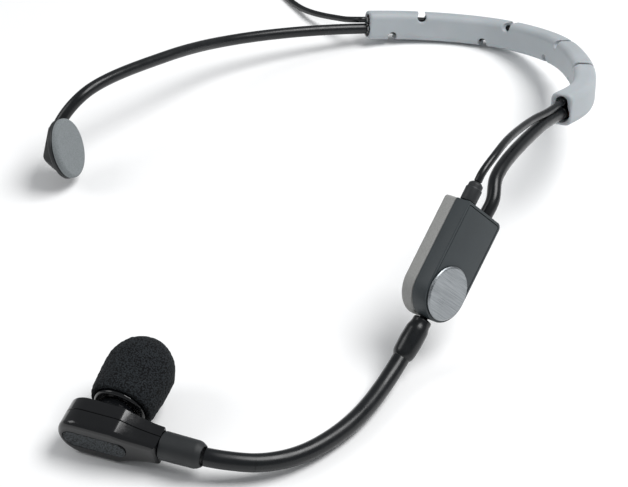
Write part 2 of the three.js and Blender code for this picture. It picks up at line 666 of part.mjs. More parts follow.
const tail = smooth([
  at(coilMiddle.x + 1, coilMiddle.y + besideCoil, coilTop),
  at(coilMiddle.x + 7, coilMiddle.y + besideCoil + 0.7, coilTop - 0.6),
  at(coilMiddle.x + 14, coilMiddle.y + besideCoil + 2.9, coilTop - 2.1),
  at(coilMiddle.x + 21, plugFront.y - 1.2, plugFront.z - 0.3),
  at(plugBack - fitGap - 1.5, plugFront.y, plugFront.z), at(plugBack - fitGap, plugFront.y, plugFront.z),
]);

// The coil is one ring, and a strap that passes under it ties it
const coilSection = (grow, corner) => roundedBox(
  coilRadius - coilWidth / 2 - grow, coilOuter + grow, -grow, coilHeight + grow, corner + grow,
);
const ringPoints = coilSection(0, 2).getPoints(1).map(({ x, y }) => [x, y]);
const strapOutline = coilSection(strapGap + strapThickness, 0.6);
strapOutline.holes.push(new THREE.Path(coilSection(strapGap, 0.6).getPoints(2)));
const strapPlace = (geometry) => geometry.rotateX(Math.PI / 2)
  .translate(0, strapWidth / 2, strapGap + strapThickness)
  .rotateZ(Math.PI).translate(coilMiddle.x, coilMiddle.y, 0);
addTo(cord, [
  ['free_cable_lead', tube(lead, cableRadius, 34, 8), looks.jacket],
  ['cable_coil', cut(
    turned([...ringPoints, ringPoints[0]], 24).translate(coilMiddle.x, coilMiddle.y, 0),
    block(-2 * coilOuter, 0, -strapSlot, strapSlot, -1, strapThickness + 2 * fitGap)
      .translate(coilMiddle.x, coilMiddle.y, 0),
  ), looks.jacket],
  ['coil_tie', strapPlace(slab(strapOutline, 0, strapWidth, 3)), looks.strap],
  ['free_cable_tail', tube(tail, cableRadius, 16, 8), looks.jacket],
]);

// Plug, in its own axes with x from the cable to the front, and a latch on top
const plug = new THREE.Group();
plug.position.copy(plugFront);
const shellRadius = plugDiameter / 2;
const shellBore = shellRadius - 0.8;
const stemRadius = 2.6;
const insertFrom = 6;
const insertTo = plugLength - 2.5;
const contactRing = 1.95;
const contactRadius = 0.7;
const latchFrom = 8.5;
const latchLength = 5;
const latchWidth = 2.6;
const latchTravel = 0.6;
const contactPlaces = [45, 135, 225, 315].map(degrees)
  .map((angle) => [contactRing * Math.cos(angle), contactRing * Math.sin(angle)]);
const contactHole = ([y, z], radius, from, to) => lying(radius, from, to, 8).translate(0, y, z);
const latchFloor = shellBore - latchTravel - 0.9;
const latchBlock = (grow, low, high) => block(
  latchFrom - grow, latchFrom + latchLength + grow, -latchWidth / 2 - grow, latchWidth / 2 + grow, low, high,
);
addTo(plug, [
  ['plug_boot', cut(
    join(
      lying(cableRadius + 0.9, -plugBootLength, 0, 16, shellRadius - 0.6),
      lying(stemRadius, -1, insertFrom - 1.5, 16),
    ),
    lying(cableRadius + boreClearance, -plugBootLength + 6, insertFrom, 8),
  ), looks.matte],
  ['plug_shell', cut(
    lying(shellRadius, fitGap * 2, plugLength, 24),
    lying(shellBore, insertFrom - 1, plugLength + 1, 24),
    lying(stemRadius + boreClearance, -1, plugLength, 16),
    latchBlock(fitGap, 2, 6),
  ), looks.nickel],
  ['plug_insert', cut(
    lying(shellBore - fitGap, insertFrom, insertTo, 10),
    latchBlock(0.6, latchFloor, 6),
    ...contactPlaces.map((spot) => contactHole(spot, contactRadius + boreClearance, insertFrom - 1, insertTo + 1)),
  ), looks.matte],
  ['plug_latch', latchBlock(0, shellBore - 0.75, shellRadius + 0.5), looks.gloss],
]);
contactPlaces.forEach((spot, i) => {
  const sleeveOf = contactHole(spot, contactRadius, insertFrom - 1.2, insertTo - 0.4);
  const socketOf = contactHole(spot, 0.35, insertTo - 5, insertTo + 1);
  addTo(plug, [[`plug_contact_${i + 1}`, cut(sleeveOf, socketOf), looks.gold]]);
});
cord.add(plug);

// The origin is under the middle of everything but the cord
const headset = new THREE.Group();
headset.add(worn, boom, cord);
const middle = extent.getCenter(new THREE.Vector3());
headset.position.set(-middle.x, -middle.y, -extent.min.z);

export default headset;
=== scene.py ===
# Headset microphone lying on a table: sprung wire band, grey neck sleeve, temple pads, housing with a
# badge, gooseneck, microphone under a foam windscreen, and the spare cable wound up behind it.
import math

import bpy
import numpy as np
from mathutils import Matrix, Vector


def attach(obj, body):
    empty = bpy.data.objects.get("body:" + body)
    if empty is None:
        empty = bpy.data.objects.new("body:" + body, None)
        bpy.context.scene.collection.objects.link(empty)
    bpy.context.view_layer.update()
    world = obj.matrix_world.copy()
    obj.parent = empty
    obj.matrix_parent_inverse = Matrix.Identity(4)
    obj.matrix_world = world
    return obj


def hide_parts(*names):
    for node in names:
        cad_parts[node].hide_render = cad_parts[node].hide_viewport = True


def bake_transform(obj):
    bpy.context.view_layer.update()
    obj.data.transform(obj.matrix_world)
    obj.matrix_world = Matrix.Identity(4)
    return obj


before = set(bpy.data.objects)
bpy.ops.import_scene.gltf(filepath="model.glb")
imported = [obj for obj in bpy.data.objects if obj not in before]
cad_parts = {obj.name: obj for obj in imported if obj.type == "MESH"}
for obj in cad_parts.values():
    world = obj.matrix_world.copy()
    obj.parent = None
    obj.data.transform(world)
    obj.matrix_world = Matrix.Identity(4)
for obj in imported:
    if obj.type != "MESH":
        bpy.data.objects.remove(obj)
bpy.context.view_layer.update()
mm = 0.001
zUp = np.array([0.0, 0.0, 1.0])
print("frame loaded")


# Small helpers: vectors, paths and meshes (millimetres until a mesh is made)

def unit(v):
    # each vector divided by its own length
    return v / np.linalg.norm(v, axis=-1, keepdims=True)


def turnAbout(axis, angle):
    # the 3 x 3 matrix that turns by an angle in degrees about an axis
    return np.array(Matrix.Rotation(math.radians(angle), 3, Vector(axis)))


def place(origin, x, y, z):
    # a frame of three axes: its function takes points in that frame to the row's frame
    axes = np.array([x, y, z], float)
    origin = np.array(origin, float)
    return lambda points: origin + np.atleast_2d(points) @ axes


def spline(points, perSegment=60):
    # centripetal Catmull-Rom curve: knots are spaced by the square root of each chord
    p = np.array(points, float)
    p = np.vstack([2 * p[0] - p[1], p, 2 * p[-1] - p[-2]])
    d = np.sqrt(np.linalg.norm(np.diff(p, axis=0), axis=1))[:, None]
    a, b, c, e = p[:-3], p[1:-2], p[2:-1], p[3:]
    d0, d1, d2 = d[:-2], d[1:-1], d[2:]
    m1 = ((b - a) / d0 - (c - a) / (d0 + d1) + (c - b) / d1) * d1
    m2 = ((c - b) / d1 - (e - b) / (d1 + d2) + (e - c) / d2) * d1
    t = np.linspace(0, 1, perSegment, endpoint=False)[None, :, None]
    h = (2 * t**3 - 3 * t**2 + 1, t**3 - 2 * t**2 + t, 3 * t**2 - 2 * t**3, t**3 - t**2)
    curve = h[0] * b[:, None] + h[1] * m1[:, None] + h[2] * c[:, None] + h[3] * m2[:, None]
    return np.vstack([curve.reshape(-1, 3), p[-2]])


def distances(path):
    # length along the path up to each of its points: the running sum of its chords
    return np.concatenate([[0], np.cumsum(np.linalg.norm(np.diff(path, axis=0), axis=1))])


def stretch(path, start, end, step):
    # the part of a path between two distances along it, with points a step apart
    s = distances(path)
    d = np.linspace(start, end, max(2, int(round(abs(end - start) / step)) + 1))
    return np.stack([np.interp(d, s, path[:, k]) for k in range(3)], 1)


def nearest(path, point):
    # distance along the path to its point that is closest to the given one
    return distances(path)[np.argmin(np.linalg.norm(path - point, axis=1))]


def circle(radius, sides):
    # x and y are the radius times the cosine and sine of equal angles
    a = np.arange(sides) * 2 * math.pi / sides
    return radius * np.stack([np.cos(a), np.sin(a)], 1)


def roundRect(width, bottom, top, corner, perCorner=8):
    # counter-clockwise outline of a rectangle with round corners: a quarter of a circle about each
    # corner's middle, the four a quarter turn apart
    a = np.linspace(0, math.pi / 2, perCorner)
    half = width / 2 - corner
    centres = [(half, top - corner), (-half, top - corner), (-half, bottom + corner), (half, bottom + corner)]
    quarters = [a + k * math.pi / 2 for k in range(4)]
    return np.vstack([corner * np.stack([np.cos(q), np.sin(q)], 1) + c for q, c in zip(quarters, centres)])


def frames(path, up):
    # at each point: sideways, up made square to the path, and along it
    along = unit(np.gradient(path, axis=0))
    lift = unit(up - (along @ up)[:, None] * along)
    return np.cross(lift, along), lift, along


def sweepGrid(path, section, up=zUp, scale=None):
    # each row is the section set square to the path, its y axis kept towards up, times that row's scale
    side, lift, _ = frames(path, up)
    scale = np.ones(len(path)) if scale is None else np.asarray(scale)
    s = section[None] * scale[:, None, None]
    return path[:, None] + s[..., :1] * side[:, None] + s[..., 1:] * lift[:, None]


def smoothProfile(points, radius=0.25, count=4):
    # each inner corner of a profile becomes a short curve that starts a radius before it
    p = np.array(points, float)
    out = [p[0]]
    t = np.linspace(0, 1, count)[:, None]
    for before, corner, after in zip(p[:-2], p[1:-1], p[2:]):
        r = min(radius, 0.45 * np.linalg.norm(before - corner), 0.45 * np.linalg.norm(after - corner))
        a = corner + unit(before - corner) * r
        b = corner + unit(after - corner) * r
        out.extend((1 - t) ** 2 * a + 2 * t * (1 - t) * corner + t**2 * b)
    return np.array(out + [p[-1]])


def turnedGrid(profile, frameOf, sides=48):
    # a profile of [radius, height] turned about the frame's z axis
    c = circle(1, sides)
    r, z = np.array(profile, float).T
    points = np.concatenate([r[:, None, None] * c[None], np.repeat(z[:, None, None], sides, 1)], -1)
    return frameOf(points.reshape(-1, 3)).reshape(len(r), sides, 3)


def meshOf(name, grids, material, body, replaced=(), closedRows=False, smoothAngle=35):
    # each grid of rows becomes a closed tube: quads between rows, and a flat face at either end
    verts, faces = [], []
    base = 0
    for grid in grids if isinstance(grids, list) else [grids]:
        rows, cols = grid.shape[:2]
        index = base + np.arange(rows * cols).reshape(rows, cols)
        lower, upper = (index, np.roll(index, -1, 0)) if closedRows else (index[:-1], index[1:])
        quads = np.stack([lower, np.roll(lower, -1, 1), np.roll(upper, -1, 1), upper], -1)
        faces += quads.reshape(-1, 4).tolist()
        if not closedRows:
            faces += [index[0][::-1].tolist(), index[-1].tolist()]
        verts.append(grid.reshape(-1, 3))
        base += rows * cols
    mesh = bpy.data.meshes.new(name)
    mesh.from_pydata((np.vstack(verts) * mm).tolist(), [], faces)
    return finishPiece(name, mesh, material, body, replaced, smoothAngle)


def finishPiece(name, mesh, material, body, replaced, smoothAngle=35):
    # puts a mesh in the scene with its finish, the body that it rides and the CAD nodes that it replaces
    obj = bpy.data.objects.new(name, mesh)
    bpy.context.scene.collection.objects.link(obj)
    if material is not None:
        mesh.materials.append(material)
    smoothEdges(obj, smoothAngle)
    if body:
        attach(obj, body)
    if replaced:
        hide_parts(*replaced)
    return obj


def smoothEdges(obj, angle):
    # smooth shading, with a crease where two faces meet at more than the angle
    mesh = obj.data
    mesh.update()
    mesh.shade_smooth()
    mesh.set_sharp_from_angle(angle=math.radians(angle))


def cutBy(obj, cutters, join=False):
    # boolean cuts, applied at once, after which the cutters are removed
    for cutter in cutters:
        modifier = obj.modifiers.new("cut", "BOOLEAN")
        modifier.operation = "UNION" if join else "DIFFERENCE"
        modifier.solver = "EXACT"
        modifier.object = cutter
        applyAll(obj)
        bpy.data.objects.remove(cutter)
    return obj


def applyAll(obj):
    # the mesh as its modifiers leave it takes the place of the mesh
    bpy.context.view_layer.update()
    evaluated = obj.evaluated_get(bpy.context.evaluated_depsgraph_get())
    made = bpy.data.meshes.new_from_object(evaluated)
    obj.modifiers.clear()
    obj.data = made
    return obj


def cutter(grid):
    return meshOf("cutter", grid, None, None)


# Camera

view = {
    "position": (229.06, -353.15, 270.40),
    "right": (0.8428, 0.5383, 0.0),
    "up": (-0.301, 0.4713, 0.829),
    "lens": 92.58,
    "shift": (0.0064, -0.0067),
}


def makeCamera():
    data = bpy.data.cameras.new("camera")
    data.lens = view["lens"]
    data.sensor_width = 36
    data.shift_x, data.shift_y = view["shift"]
    data.clip_start, data.clip_end = 0.01, 20
    camera = bpy.data.objects.new("camera", data)
    bpy.context.scene.collection.objects.link(camera)
    right, up = Vector(view["right"]).normalized(), Vector(view["up"]).normalized()
    back = right.cross(up)
    turned = Matrix((right, up, back)).transposed().to_4x4()
    camera.matrix_world = Matrix.Translation(Vector(view["position"]) * mm) @ turned
    bpy.context.scene.camera = camera


makeCamera()
print("camera placed")


# Where things lie: the same driving sizes as the frame's

body = {
    "bandHalfWidth": 72.7, "bandDepth": 140.1, "wire": 3.8, "core": 1.8, "pitch": 10.19, "roll": 6.59,
    "wornOrigin": (-1.0614, -12.0841, 30.9644),
    "shape": [(1, 0, 0), (0.942, 0.251, 4.2), (0.901, 0.505, 2.7), (0.681, 0.739, 1.3), (0.374, 0.924, -0.7)],
    "nape": -1.8, "cable": 2.2, "cableLift": 3.3,
}
wornAxes = turnAbout((0, 1, 0), -body["roll"]) @ turnAbout((1, 0, 0), -body["pitch"])
worn = place(body["wornOrigin"], wornAxes[:, 0], wornAxes[:, 1], wornAxes[:, 2])
wornUp = wornAxes[:, 2]


def wornFrame(origin, x, y, z):
    # a frame given in the wearer's axes, as a frame of the row
    o = worn(origin)[0]
    axes = [wornAxes @ np.array(a) for a in (x, y, z)]
    return place(o, *axes), axes, o


leftEar = np.array([body["bandHalfWidth"], 0, 0])
outward = unit(np.array([0.966, -0.258, 0.032]))
towardTop = np.array([0.138, 0.612, 0.779])
towardTop = unit(towardTop - outward * (towardTop @ outward))
housingIn, housingAxes, housingOrigin = wornFrame(
    leftEar + (-0.1, -26.2, -24.6), np.cross(towardTop, outward), towardTop, outward)
padFacing = unit(np.array([0.914, 0.312, 0.26]))
padUp = unit(zUp - padFacing * padFacing[2])
padIn = wornFrame(-leftEar + (5.2, -13.5, -13.4), np.cross(padUp, padFacing), padUp, padFacing)[0]

housing = {"width": 16.3, "top": 23.9, "thick": 4.8, "wall": 0.75, "cover": 0.75, "pad": 4.2, "gap": 0.15,
           "badge": 15.0, "badgeThick": 0.7, "wireX": 3.0, "cableX": -6.0, "seat": -2.4, "relief": 5.8,
           "collarSeat": -3.2, "collar": 13.2, "collarLean": 5.0}
pad = {"diameter": 18.8, "thick": 2.1, "holder": 1.5, "heading": 43.5, "reach": 5.0, "width": 5.6,
       "gap": 0.15}
pad["back"] = -pad["thick"] - pad["gap"] - pad["holder"]


def rimPoint(reach, z):
    # a point on the line from the pad's middle to where the wire comes in, that far out
    a = math.radians(pad["heading"])
    return padIn((reach * math.cos(a), reach * math.sin(a), z))[0]


def bandPath():
    # from the right pad round the neck into the housing: both halves are one shape, given as shares of the
    # band's half width and depth
    halves = [[(side * x * body["bandHalfWidth"], y * body["bandDepth"], z) for x, y, z in body["shape"]]
              for side in (-1, 1)]
    wireZ = pad["back"] - 0.2 - body["wire"] / 2
    points = [rimPoint(1.5, wireZ), rimPoint(pad["diameter"] / 2 - 0.4, wireZ + 0.4)]
    points += list(worn(halves[0]))
    points += list(worn((0, body["bandDepth"], body["nape"])))
    points += list(worn(halves[1][::-1]))
    x, seat = housing["wireX"], housing["seat"]
    for y in (housing["top"] + 4.5, housing["top"] - housing["wall"] + housing["gap"], 12.2):
        points.append(housingIn((x, y, seat))[0])
    return spline(points)


band = bandPath()
bandLength = distances(band)[-1]
napeAt = nearest(band, worn((0, body["bandDepth"], body["nape"]))[0])
sleeve = {"length": 168, "shift": 37, "thick": 7.0, "height": 9.8, "below": 3.6, "corner": 2.1,
          "notch": 3.3, "mouth": 2.2, "pitch": 35, "firstBottom": 9, "firstTop": 20, "pairs": 4}
sleeveFrom = napeAt + sleeve["shift"] - sleeve["length"] / 2
sleeveTo = sleeveFrom + sleeve["length"]
cableExit = stretch(band, sleeveFrom, sleeveFrom + 1, 1)[0] + wornUp * body["cableLift"]
cableEntry = stretch(band, sleeveTo, sleeveTo + 1, 1)[0] + wornUp * body["cableLift"]

# gooseneck and microphone, from the collar's ball
goose = {"diameter": 4.7, "swing": 22, "count": 3,
         "boot": (-19.8, -59.9, 0.6),
         "points": [(0, 0, 0), (0.1, -4.9, -1.7), (0.4, -10.5, -2.7), (0.8, -17.7, -3.2), (0.7, -26, -3.3),
                    (-0.5, -34, -3.3), (-2.6, -41.5, -3), (-5.4, -47.6, -2.3), (-9.8, -53.3, -1.3),
                    (-15.2, -57.5, -0.1)]}
goose["cup"] = goose["diameter"] / 2 * math.tan(math.radians(goose["swing"])) + 0.15
collarDown = turnAbout(housingAxes[2], -housing["collarLean"]) @ -housingAxes[1]
collarRoot = housingIn((0, -housing["width"] / 2 + 0.55, housing["collarSeat"]))[0]
collarIn = place(collarRoot, np.cross(housingAxes[2], collarDown), housingAxes[2], collarDown)
boomStart = collarIn((0, 0, housing["collar"] - 0.2))[0]
mic = {"heading": 11, "tilt": 14, "tip": 11.8, "tail": 15.2, "half": 6.2, "lower": 5.0, "upper": 4.0,
       "boot": 11.0, "bootWide": 7.1, "grille": (17.4, 5.6), "ring": 14.0, "capsule": 9.6, "gap": 0.15}
forward = np.array([math.cos(math.radians(mic["heading"])), math.sin(math.radians(mic["heading"])), 0])
rise = math.radians(mic["tilt"])
mouthward = np.cross(zUp, forward) * math.cos(rise) + zUp * math.sin(rise)
boot = boomStart + np.array(goose["boot"])
gooseneck = spline([boomStart + np.array(p) for p in goose["points"]] + [boot, boot - 3 * forward])
gooseLength = distances(gooseneck)[-1] - 3
micOrigin = boot - forward * (mic["tail"] + mic["boot"] + goose["cup"])
micAxes = (forward, np.cross(mouthward, forward), mouthward)
micIn = place(micOrigin, *micAxes)
print("layout worked out", np.round(cableExit, 2), np.round(boomStart, 2), np.round(micOrigin, 2))


# Free cable: out of the sleeve's right-hand end, down to the table, and wound up

cord = {
    "diameter": 2.2, "pitch": 2.24, "coilMiddle": (-57.3, 35.0), "coilRadius": 12.1,
    "columns": 3, "layers": 4, "strap": 0.7, "plugFront": (-12.0, 59.0, 5.1), "plugBoot": 17.0,
    "lead": [(-7.9, -1.4, 7.9), (-13.5, 0.2, 6.4), (-20, 2.3, 4.7), (-26.9, 4.7, 3.2), (-33.3, 7.8, 1.9),
             (-39.5, 11.2, 1.3), (-45.7, 14.9, 1.2), (-52.8, 18.1, 1.2)],
}


def coilTurns(middle):
    # the cable winds from the outer turn of the lowest layer inwards, up a layer and back out, and so on:
    # the angle goes evenly round, radius and height ease from one turn's place to the next, and where the
    # cable climbs a layer it bulges away from the others
    d = cord["pitch"]
    columns = cord["coilRadius"] + d * (np.arange(cord["columns"]) - (cord["columns"] - 1) / 2)
    places = []
    for layer in range(cord["layers"]):
        order = columns[::-1] if layer % 2 == 0 else columns
        places += [(r, cord["diameter"] / 2 + 0.1 + layer * d) for r in order]
    radii, heights = np.array(places).T
    climb = np.diff(heights) / d * np.where(radii[:-1] < cord["coilRadius"], -1, 1)
    last = len(places) - 1
    u = np.linspace(0, last + 0.5, int((last + 0.5) * 72))
    step = np.minimum(u.astype(int), last)
    ease = np.clip((u - step - 0.72) / 0.28, 0, 1)
    ease = ease * ease * (3 - 2 * ease)
    k = np.arange(last + 1)
    radius = np.interp(step + ease, k, radii) + 4.4 * ease * (1 - ease) * climb[np.minimum(step, last - 1)]
    height = np.interp(step + ease, k, heights)
    angle = -math.pi / 2 - 2 * math.pi * u
    offTie = np.abs((angle / math.pi) % 2 - 1)
    height = height + (cord["strap"] + 0.3) * np.exp(-((offTie / 0.13) ** 2))
    return np.stack([middle[0] + radius * np.cos(angle), middle[1] + radius * np.sin(angle), height], 1)


cordBase = np.array([cableExit[0], cableExit[1], 0])
exitHeading = -unit(np.diff(stretch(band, sleeveFrom, sleeveFrom + 1, 1), axis=0)[0])


def cordPath():
    # the lead's and the tail's points are listed, and every sixth point of the turns is used
    middle = np.array(cord["coilMiddle"])
    turns = coilTurns(middle)
    start = np.array([0, 0, cableExit[2]])
    lead = [start + exitHeading * 0.6, start + exitHeading * 2.6] + [np.array(p) for p in cord["lead"]]
    front = np.array(cord["plugFront"])
    back = front[0] - cord["plugBoot"]
    top = turns[-1][2]
    tail = [(middle[0] + 4, middle[1] + 15.4, top - 0.2), (middle[0] + 9, middle[1] + 17.6, top - 1.0),
            (middle[0] + 14.5, middle[1] + 20.1, top - 2.2),
            (middle[0] + 21, front[1] - 1.3, front[2] - 0.3), (back - 1.5, front[1], front[2]),
            (back + 5, front[1], front[2])]
    joined = lead + list(turns[3:-3:6]) + [np.array(p) for p in tail]
    return spline(joined, 12) + cordBase


path = cordPath()
print("cable length", round(distances(path)[-1], 1))


# Making colours and materials


def linear(colour):
    # sRGB hex to linear: c/12.92 below 0.04045, else ((c + 0.055)/1.055)^2.4
    c = np.array([int(colour[i:i + 2], 16) for i in (1, 3, 5)]) / 255
    return (*np.where(c <= 0.04045, c / 12.92, ((c + 0.055) / 1.055) ** 2.4), 1.0)


def addNode(tree, kind, values=None, **settings):
    # values go to the node's inputs by name, and a socket among them is linked
    node = tree.nodes.new(kind)
    for key, value in settings.items():
        setattr(node, key, value)
    for key, value in (values or {}).items():
        if isinstance(value, bpy.types.NodeSocket):
            tree.links.new(value, node.inputs[key])
        else:
            node.inputs[key].default_value = value
    return node


def coordinates(tree, attribute=None):
    # the piece's own stored coordinates where it has them, else Object coordinates, in metres
    if attribute:
        return addNode(tree, "ShaderNodeAttribute", attribute_name=attribute).outputs["Vector"]
    return addNode(tree, "ShaderNodeTexCoord").outputs["Object"]


def noise(tree, place, size, detail=3.0, roughness=0.5):
    # size is the width in millimetres of one blotch of the pattern
    return addNode(tree, "ShaderNodeTexNoise", {
        "Vector": place, "Scale": 1000 / size, "Detail": detail, "Roughness": roughness}).outputs["Fac"]


def spread(tree, value, low, high):
    # turns the middle of a noise, 0.3 to 0.7, into low to high
    return addNode(tree, "ShaderNodeMapRange", {
        "Value": value, "From Min": 0.3, "From Max": 0.7, "To Min": low, "To Max": high}).outputs["Result"]


def between(tree, share, first, second):
    # first + share * (second - first), for two colours
    node = addNode(tree, "ShaderNodeMix", {"Factor": share}, data_type="RGBA")
    node.inputs["A"].default_value = linear(first)
    node.inputs["B"].default_value = linear(second)
    return node.outputs["Result"]


def bumpOf(tree, height, depth, strength=1.0, over=None):
    # depth is the pattern's full height in millimetres
    values = {"Height": height, "Distance": depth * mm, "Strength": strength}
    if over is not None:
        values["Normal"] = over
    return addNode(tree, "ShaderNodeBump", values).outputs["Normal"]


def material(name, colour, roughness, pattern=None, **sockets):
    # constants go straight to the sockets, and what the pattern returns is linked over them
    mat = bpy.data.materials.new(name)
    mat.use_nodes = True
    tree = mat.node_tree
    surface = tree.nodes["Principled BSDF"]
    surface.inputs["Base Color"].default_value = linear(colour)
    surface.inputs["Roughness"].default_value = roughness
    for key, value in sockets.items():
        surface.inputs[key.replace("_", " ")].default_value = value
    for key, value in (pattern(tree) if pattern else {}).items():
        tree.links.new(value, surface.inputs[key])
    return mat


def elastomerPattern(tree):
    # fine moulded grain, with a handled film that changes the shine in patches about 12 mm wide
    place = coordinates(tree)
    film = noise(tree, place, 12)
    grain = noise(tree, place, 0.25, 2)
    return {
        "Base Color": between(tree, spread(tree, film, 0, 1), "#a3a9ad", "#abb1b5"),
        "Roughness": spread(tree, film, 0.5, 0.62),
        "Normal": bumpOf(tree, grain, 0.02, 0.5),
    }


def jacketPattern(tree):
    # smooth extruded rubber: long soft waves in the highlight and a trace of dust
    place = coordinates(tree)
    waves = noise(tree, place, 3.5, 2)
    dust = noise(tree, place, 0.35, 4, 0.6)
    return {
        "Base Color": between(tree, spread(tree, dust, 0, 1), "#090b0d", "#121518"),
        "Roughness": spread(tree, waves, 0.24, 0.36),
        "Normal": bumpOf(tree, waves, 0.03, 0.35),
    }


def satinPattern(tree):
    # spark-eroded mould finish: a fine even grain under soft shine
    place = coordinates(tree)
    grain = noise(tree, place, 0.16, 2)
    patches = noise(tree, place, 7)
    return {
        "Base Color": between(tree, spread(tree, patches, 0, 1), "#2f3538", "#363c3f"),
        "Roughness": spread(tree, patches, 0.4, 0.5),
        "Normal": bumpOf(tree, grain, 0.02, 0.5),
    }


def foamPattern(light, dark, cell, depth):
    # open cells: small pits of one cell size over a finer crumb, with painted shade that darkens the colour
    # towards the bottom of each pit
    def build(tree):
        place = coordinates(tree)
        cells = addNode(tree, "ShaderNodeTexVoronoi", {"Vector": place, "Scale": 1000 / cell})
        crumb = noise(tree, place, cell * 0.45, 3, 0.6)
        # painted shade: this share moves the colour from the light one at the pit tops to the dark one at the
        # pit bottoms
        paintedPitShade = spread(tree, cells.outputs["Distance"], 0, 1)
        colour = between(tree, paintedPitShade, light, dark)
        first = bumpOf(tree, cells.outputs["Distance"], -depth, 0.8)
        return {"Base Color": colour, "Normal": bumpOf(tree, crumb, depth * 0.5, 0.6, first)}
    return build


def brushedPattern(tree):
    # brushing runs one way across the disc: noise stretched 30 times along x, in colour, shine and height;
    # real lines are under 0.1 mm wide, and these are drawn at 0.3 mm so that they show
    place = coordinates(tree, "flat")
    long = addNode(tree, "ShaderNodeMapping", {"Vector": place, "Scale": (0.03, 1.0, 1.0)}).outputs["Vector"]
    lines = noise(tree, long, 0.3, 4, 0.65)
    return {
        "Base Color": between(tree, spread(tree, lines, 0, 1), "#7c8083", "#a3a7aa"),
        "Roughness": spread(tree, lines, 0.22, 0.42),
        "Normal": bumpOf(tree, lines, 0.02, 0.6),
    }


def polishedPattern(tree):
    # polished hard plastic: faint rub marks and specks only
    place = coordinates(tree)
    rubs = noise(tree, place, 2.2, 4, 0.65)
    return {"Roughness": spread(tree, rubs, 0.1, 0.2)}


def mattPattern(tree):
    # moulded matt plastic or rubber: a fine grain, with the shine a little uneven
    place = coordinates(tree)
    grain = noise(tree, place, 0.14, 3)
    return {
        "Roughness": spread(tree, noise(tree, place, 4), 0.48, 0.62),
        "Normal": bumpOf(tree, grain, 0.03, 0.5),
    }


def wovenPattern(tree):
    # hook-and-loop strap: a crumbly pile of loops about 0.3 mm across
    place = coordinates(tree)
    loops = noise(tree, place, 0.3, 3, 0.7)
    return {
        "Base Color": between(tree, spread(tree, loops, 0, 1), "#0b0c0d", "#1c1e20"),
        "Normal": bumpOf(tree, loops, 0.12, 0.9),
    }


def steelPattern(tree):
    # drawn or plated metal: faint patches in the shine
    place = coordinates(tree)
    return {"Roughness": spread(tree, noise(tree, place, 0.8, 3), 0.24, 0.38)}


def boardPattern(tree):
    # solder mask over copper: broad flat areas a shade lighter where copper lies under it
    place = coordinates(tree)
    copper = addNode(tree, "ShaderNodeTexVoronoi", {"Vector": place, "Scale": 700}, distance="CHEBYCHEV")
    return {"Base Color": between(tree, spread(tree, copper.outputs["Distance"], 0, 1), "#14452b", "#1d5c3a")}


looks = {
    # sleeve: soft light grey moulded elastomer, the palest thing on the headset
    "sleeve": material("thermoplasticElastomer", "#a7adb1", 0.56, elastomerPattern,
                       Subsurface_Weight=0.12, Subsurface_Scale=0.0015, Specular_IOR_Level=0.4),
    # jacket: black rubber over the sprung wire, with a clear grey highlight along it
    "jacket": material("blackRubberJacket", "#131518", 0.3, jacketPattern, Specular_IOR_Level=0.4),
    # cable: the same black as the jacket, a little duller
    "cable": material("blackCableJacket", "#131518", 0.38, jacketPattern, Specular_IOR_Level=0.4),
    # housing: satin dark grey plastic
    "housing": material("satinPolycarbonate", "#33393c", 0.45, satinPattern, Specular_IOR_Level=0.35),
    # holder: near-black nylon with a moulded grain
    "holder": material("blackNylon", "#1b1e20", 0.45, mattPattern),
    # temple foam: mid grey closed foam with fine cells
    "temple_foam": material("greyClosedFoam", "#85898c", 0.9, foamPattern("#868b8d", "#767b7d", 0.3, 0.05),
                            Specular_IOR_Level=0.25),
    # the long pad is a paler, warmer foam with a skin
    "skinned_foam": material("skinnedGreyFoam", "#9c9c9a", 0.8, foamPattern("#9f9f9d", "#939391", 0.3, 0.03),
                             Specular_IOR_Level=0.3),
    # badge: brushed aluminium disc with a bright bevel
    "badge": material("brushedAluminium", "#8f9396", 0.3, brushedPattern, Metallic=1.0, Anisotropic=0.5),
    # relief rubber: matt black
    "relief_rubber": material("mattBlackRubber", "#1a1d1f", 0.55, mattPattern),
    # microphone shells: polished black
    "mic_gloss": material("polishedBlackPlastic", "#0c0d0f", 0.14, polishedPattern),
    # grille: dull dark screen behind the slot
    "grille": material("blackAcousticScreen", "#26292c", 0.85, foamPattern("#44494c", "#16181a", 0.4, 0.12)),
    # windscreen: near-black open foam, which looks speckled
    "windscreen_foam": material("blackOpenFoam", "#1b1d1f", 0.95,
                                foamPattern("#2a2e31", "#0b0c0d", 0.42, 0.25), Specular_IOR_Level=0.2),
    "strap": material("blackHookAndLoop", "#151719", 0.95, wovenPattern, Specular_IOR_Level=0.2),
    # the plug's metal: bright nickel
    "nickel": material("nickelPlate", "#b3b3ae", 0.28, steelPattern, Metallic=1.0),
    "spring_steel": material("springSteel", "#85878a", 0.32, steelPattern, Metallic=1.0),
    "contact": material("goldPlate", "#d9b15f", 0.25, steelPattern, Metallic=1.0),
    "insert": material("blackGlassNylon", "#161719", 0.5, mattPattern),
    "board": material("greenSolderMask", "#19532f", 0.35, boardPattern),
    "chip": material("epoxyPackage", "#1c1d1f", 0.6, mattPattern),
    "capacitor": material("ceramicCapacitor", "#a5845a", 0.45, mattPattern),
}
print("materials made")


# Wires and cables


def tubeOf(path, radius, sides=24, up=zUp, bore=0.0, rounding=0.35, roundEnds=(True, True)):
    # a round tube whose ends curve in over the rounding; with a bore, the same rows come back inside it
    s = distances(path)
    scale = np.ones(len(path))
    for used, gap in zip(roundEnds, (s, s[-1] - s)):
        if used:
            near = np.clip(1 - gap / rounding, 0, 1)
            scale *= 1 - rounding / radius * (1 - np.sqrt(1 - near**2))
    outer = sweepGrid(path, circle(radius, sides), up, scale)
    if not bore:
        return outer
    return np.concatenate([outer, sweepGrid(path, circle(bore, sides), up)[::-1]])


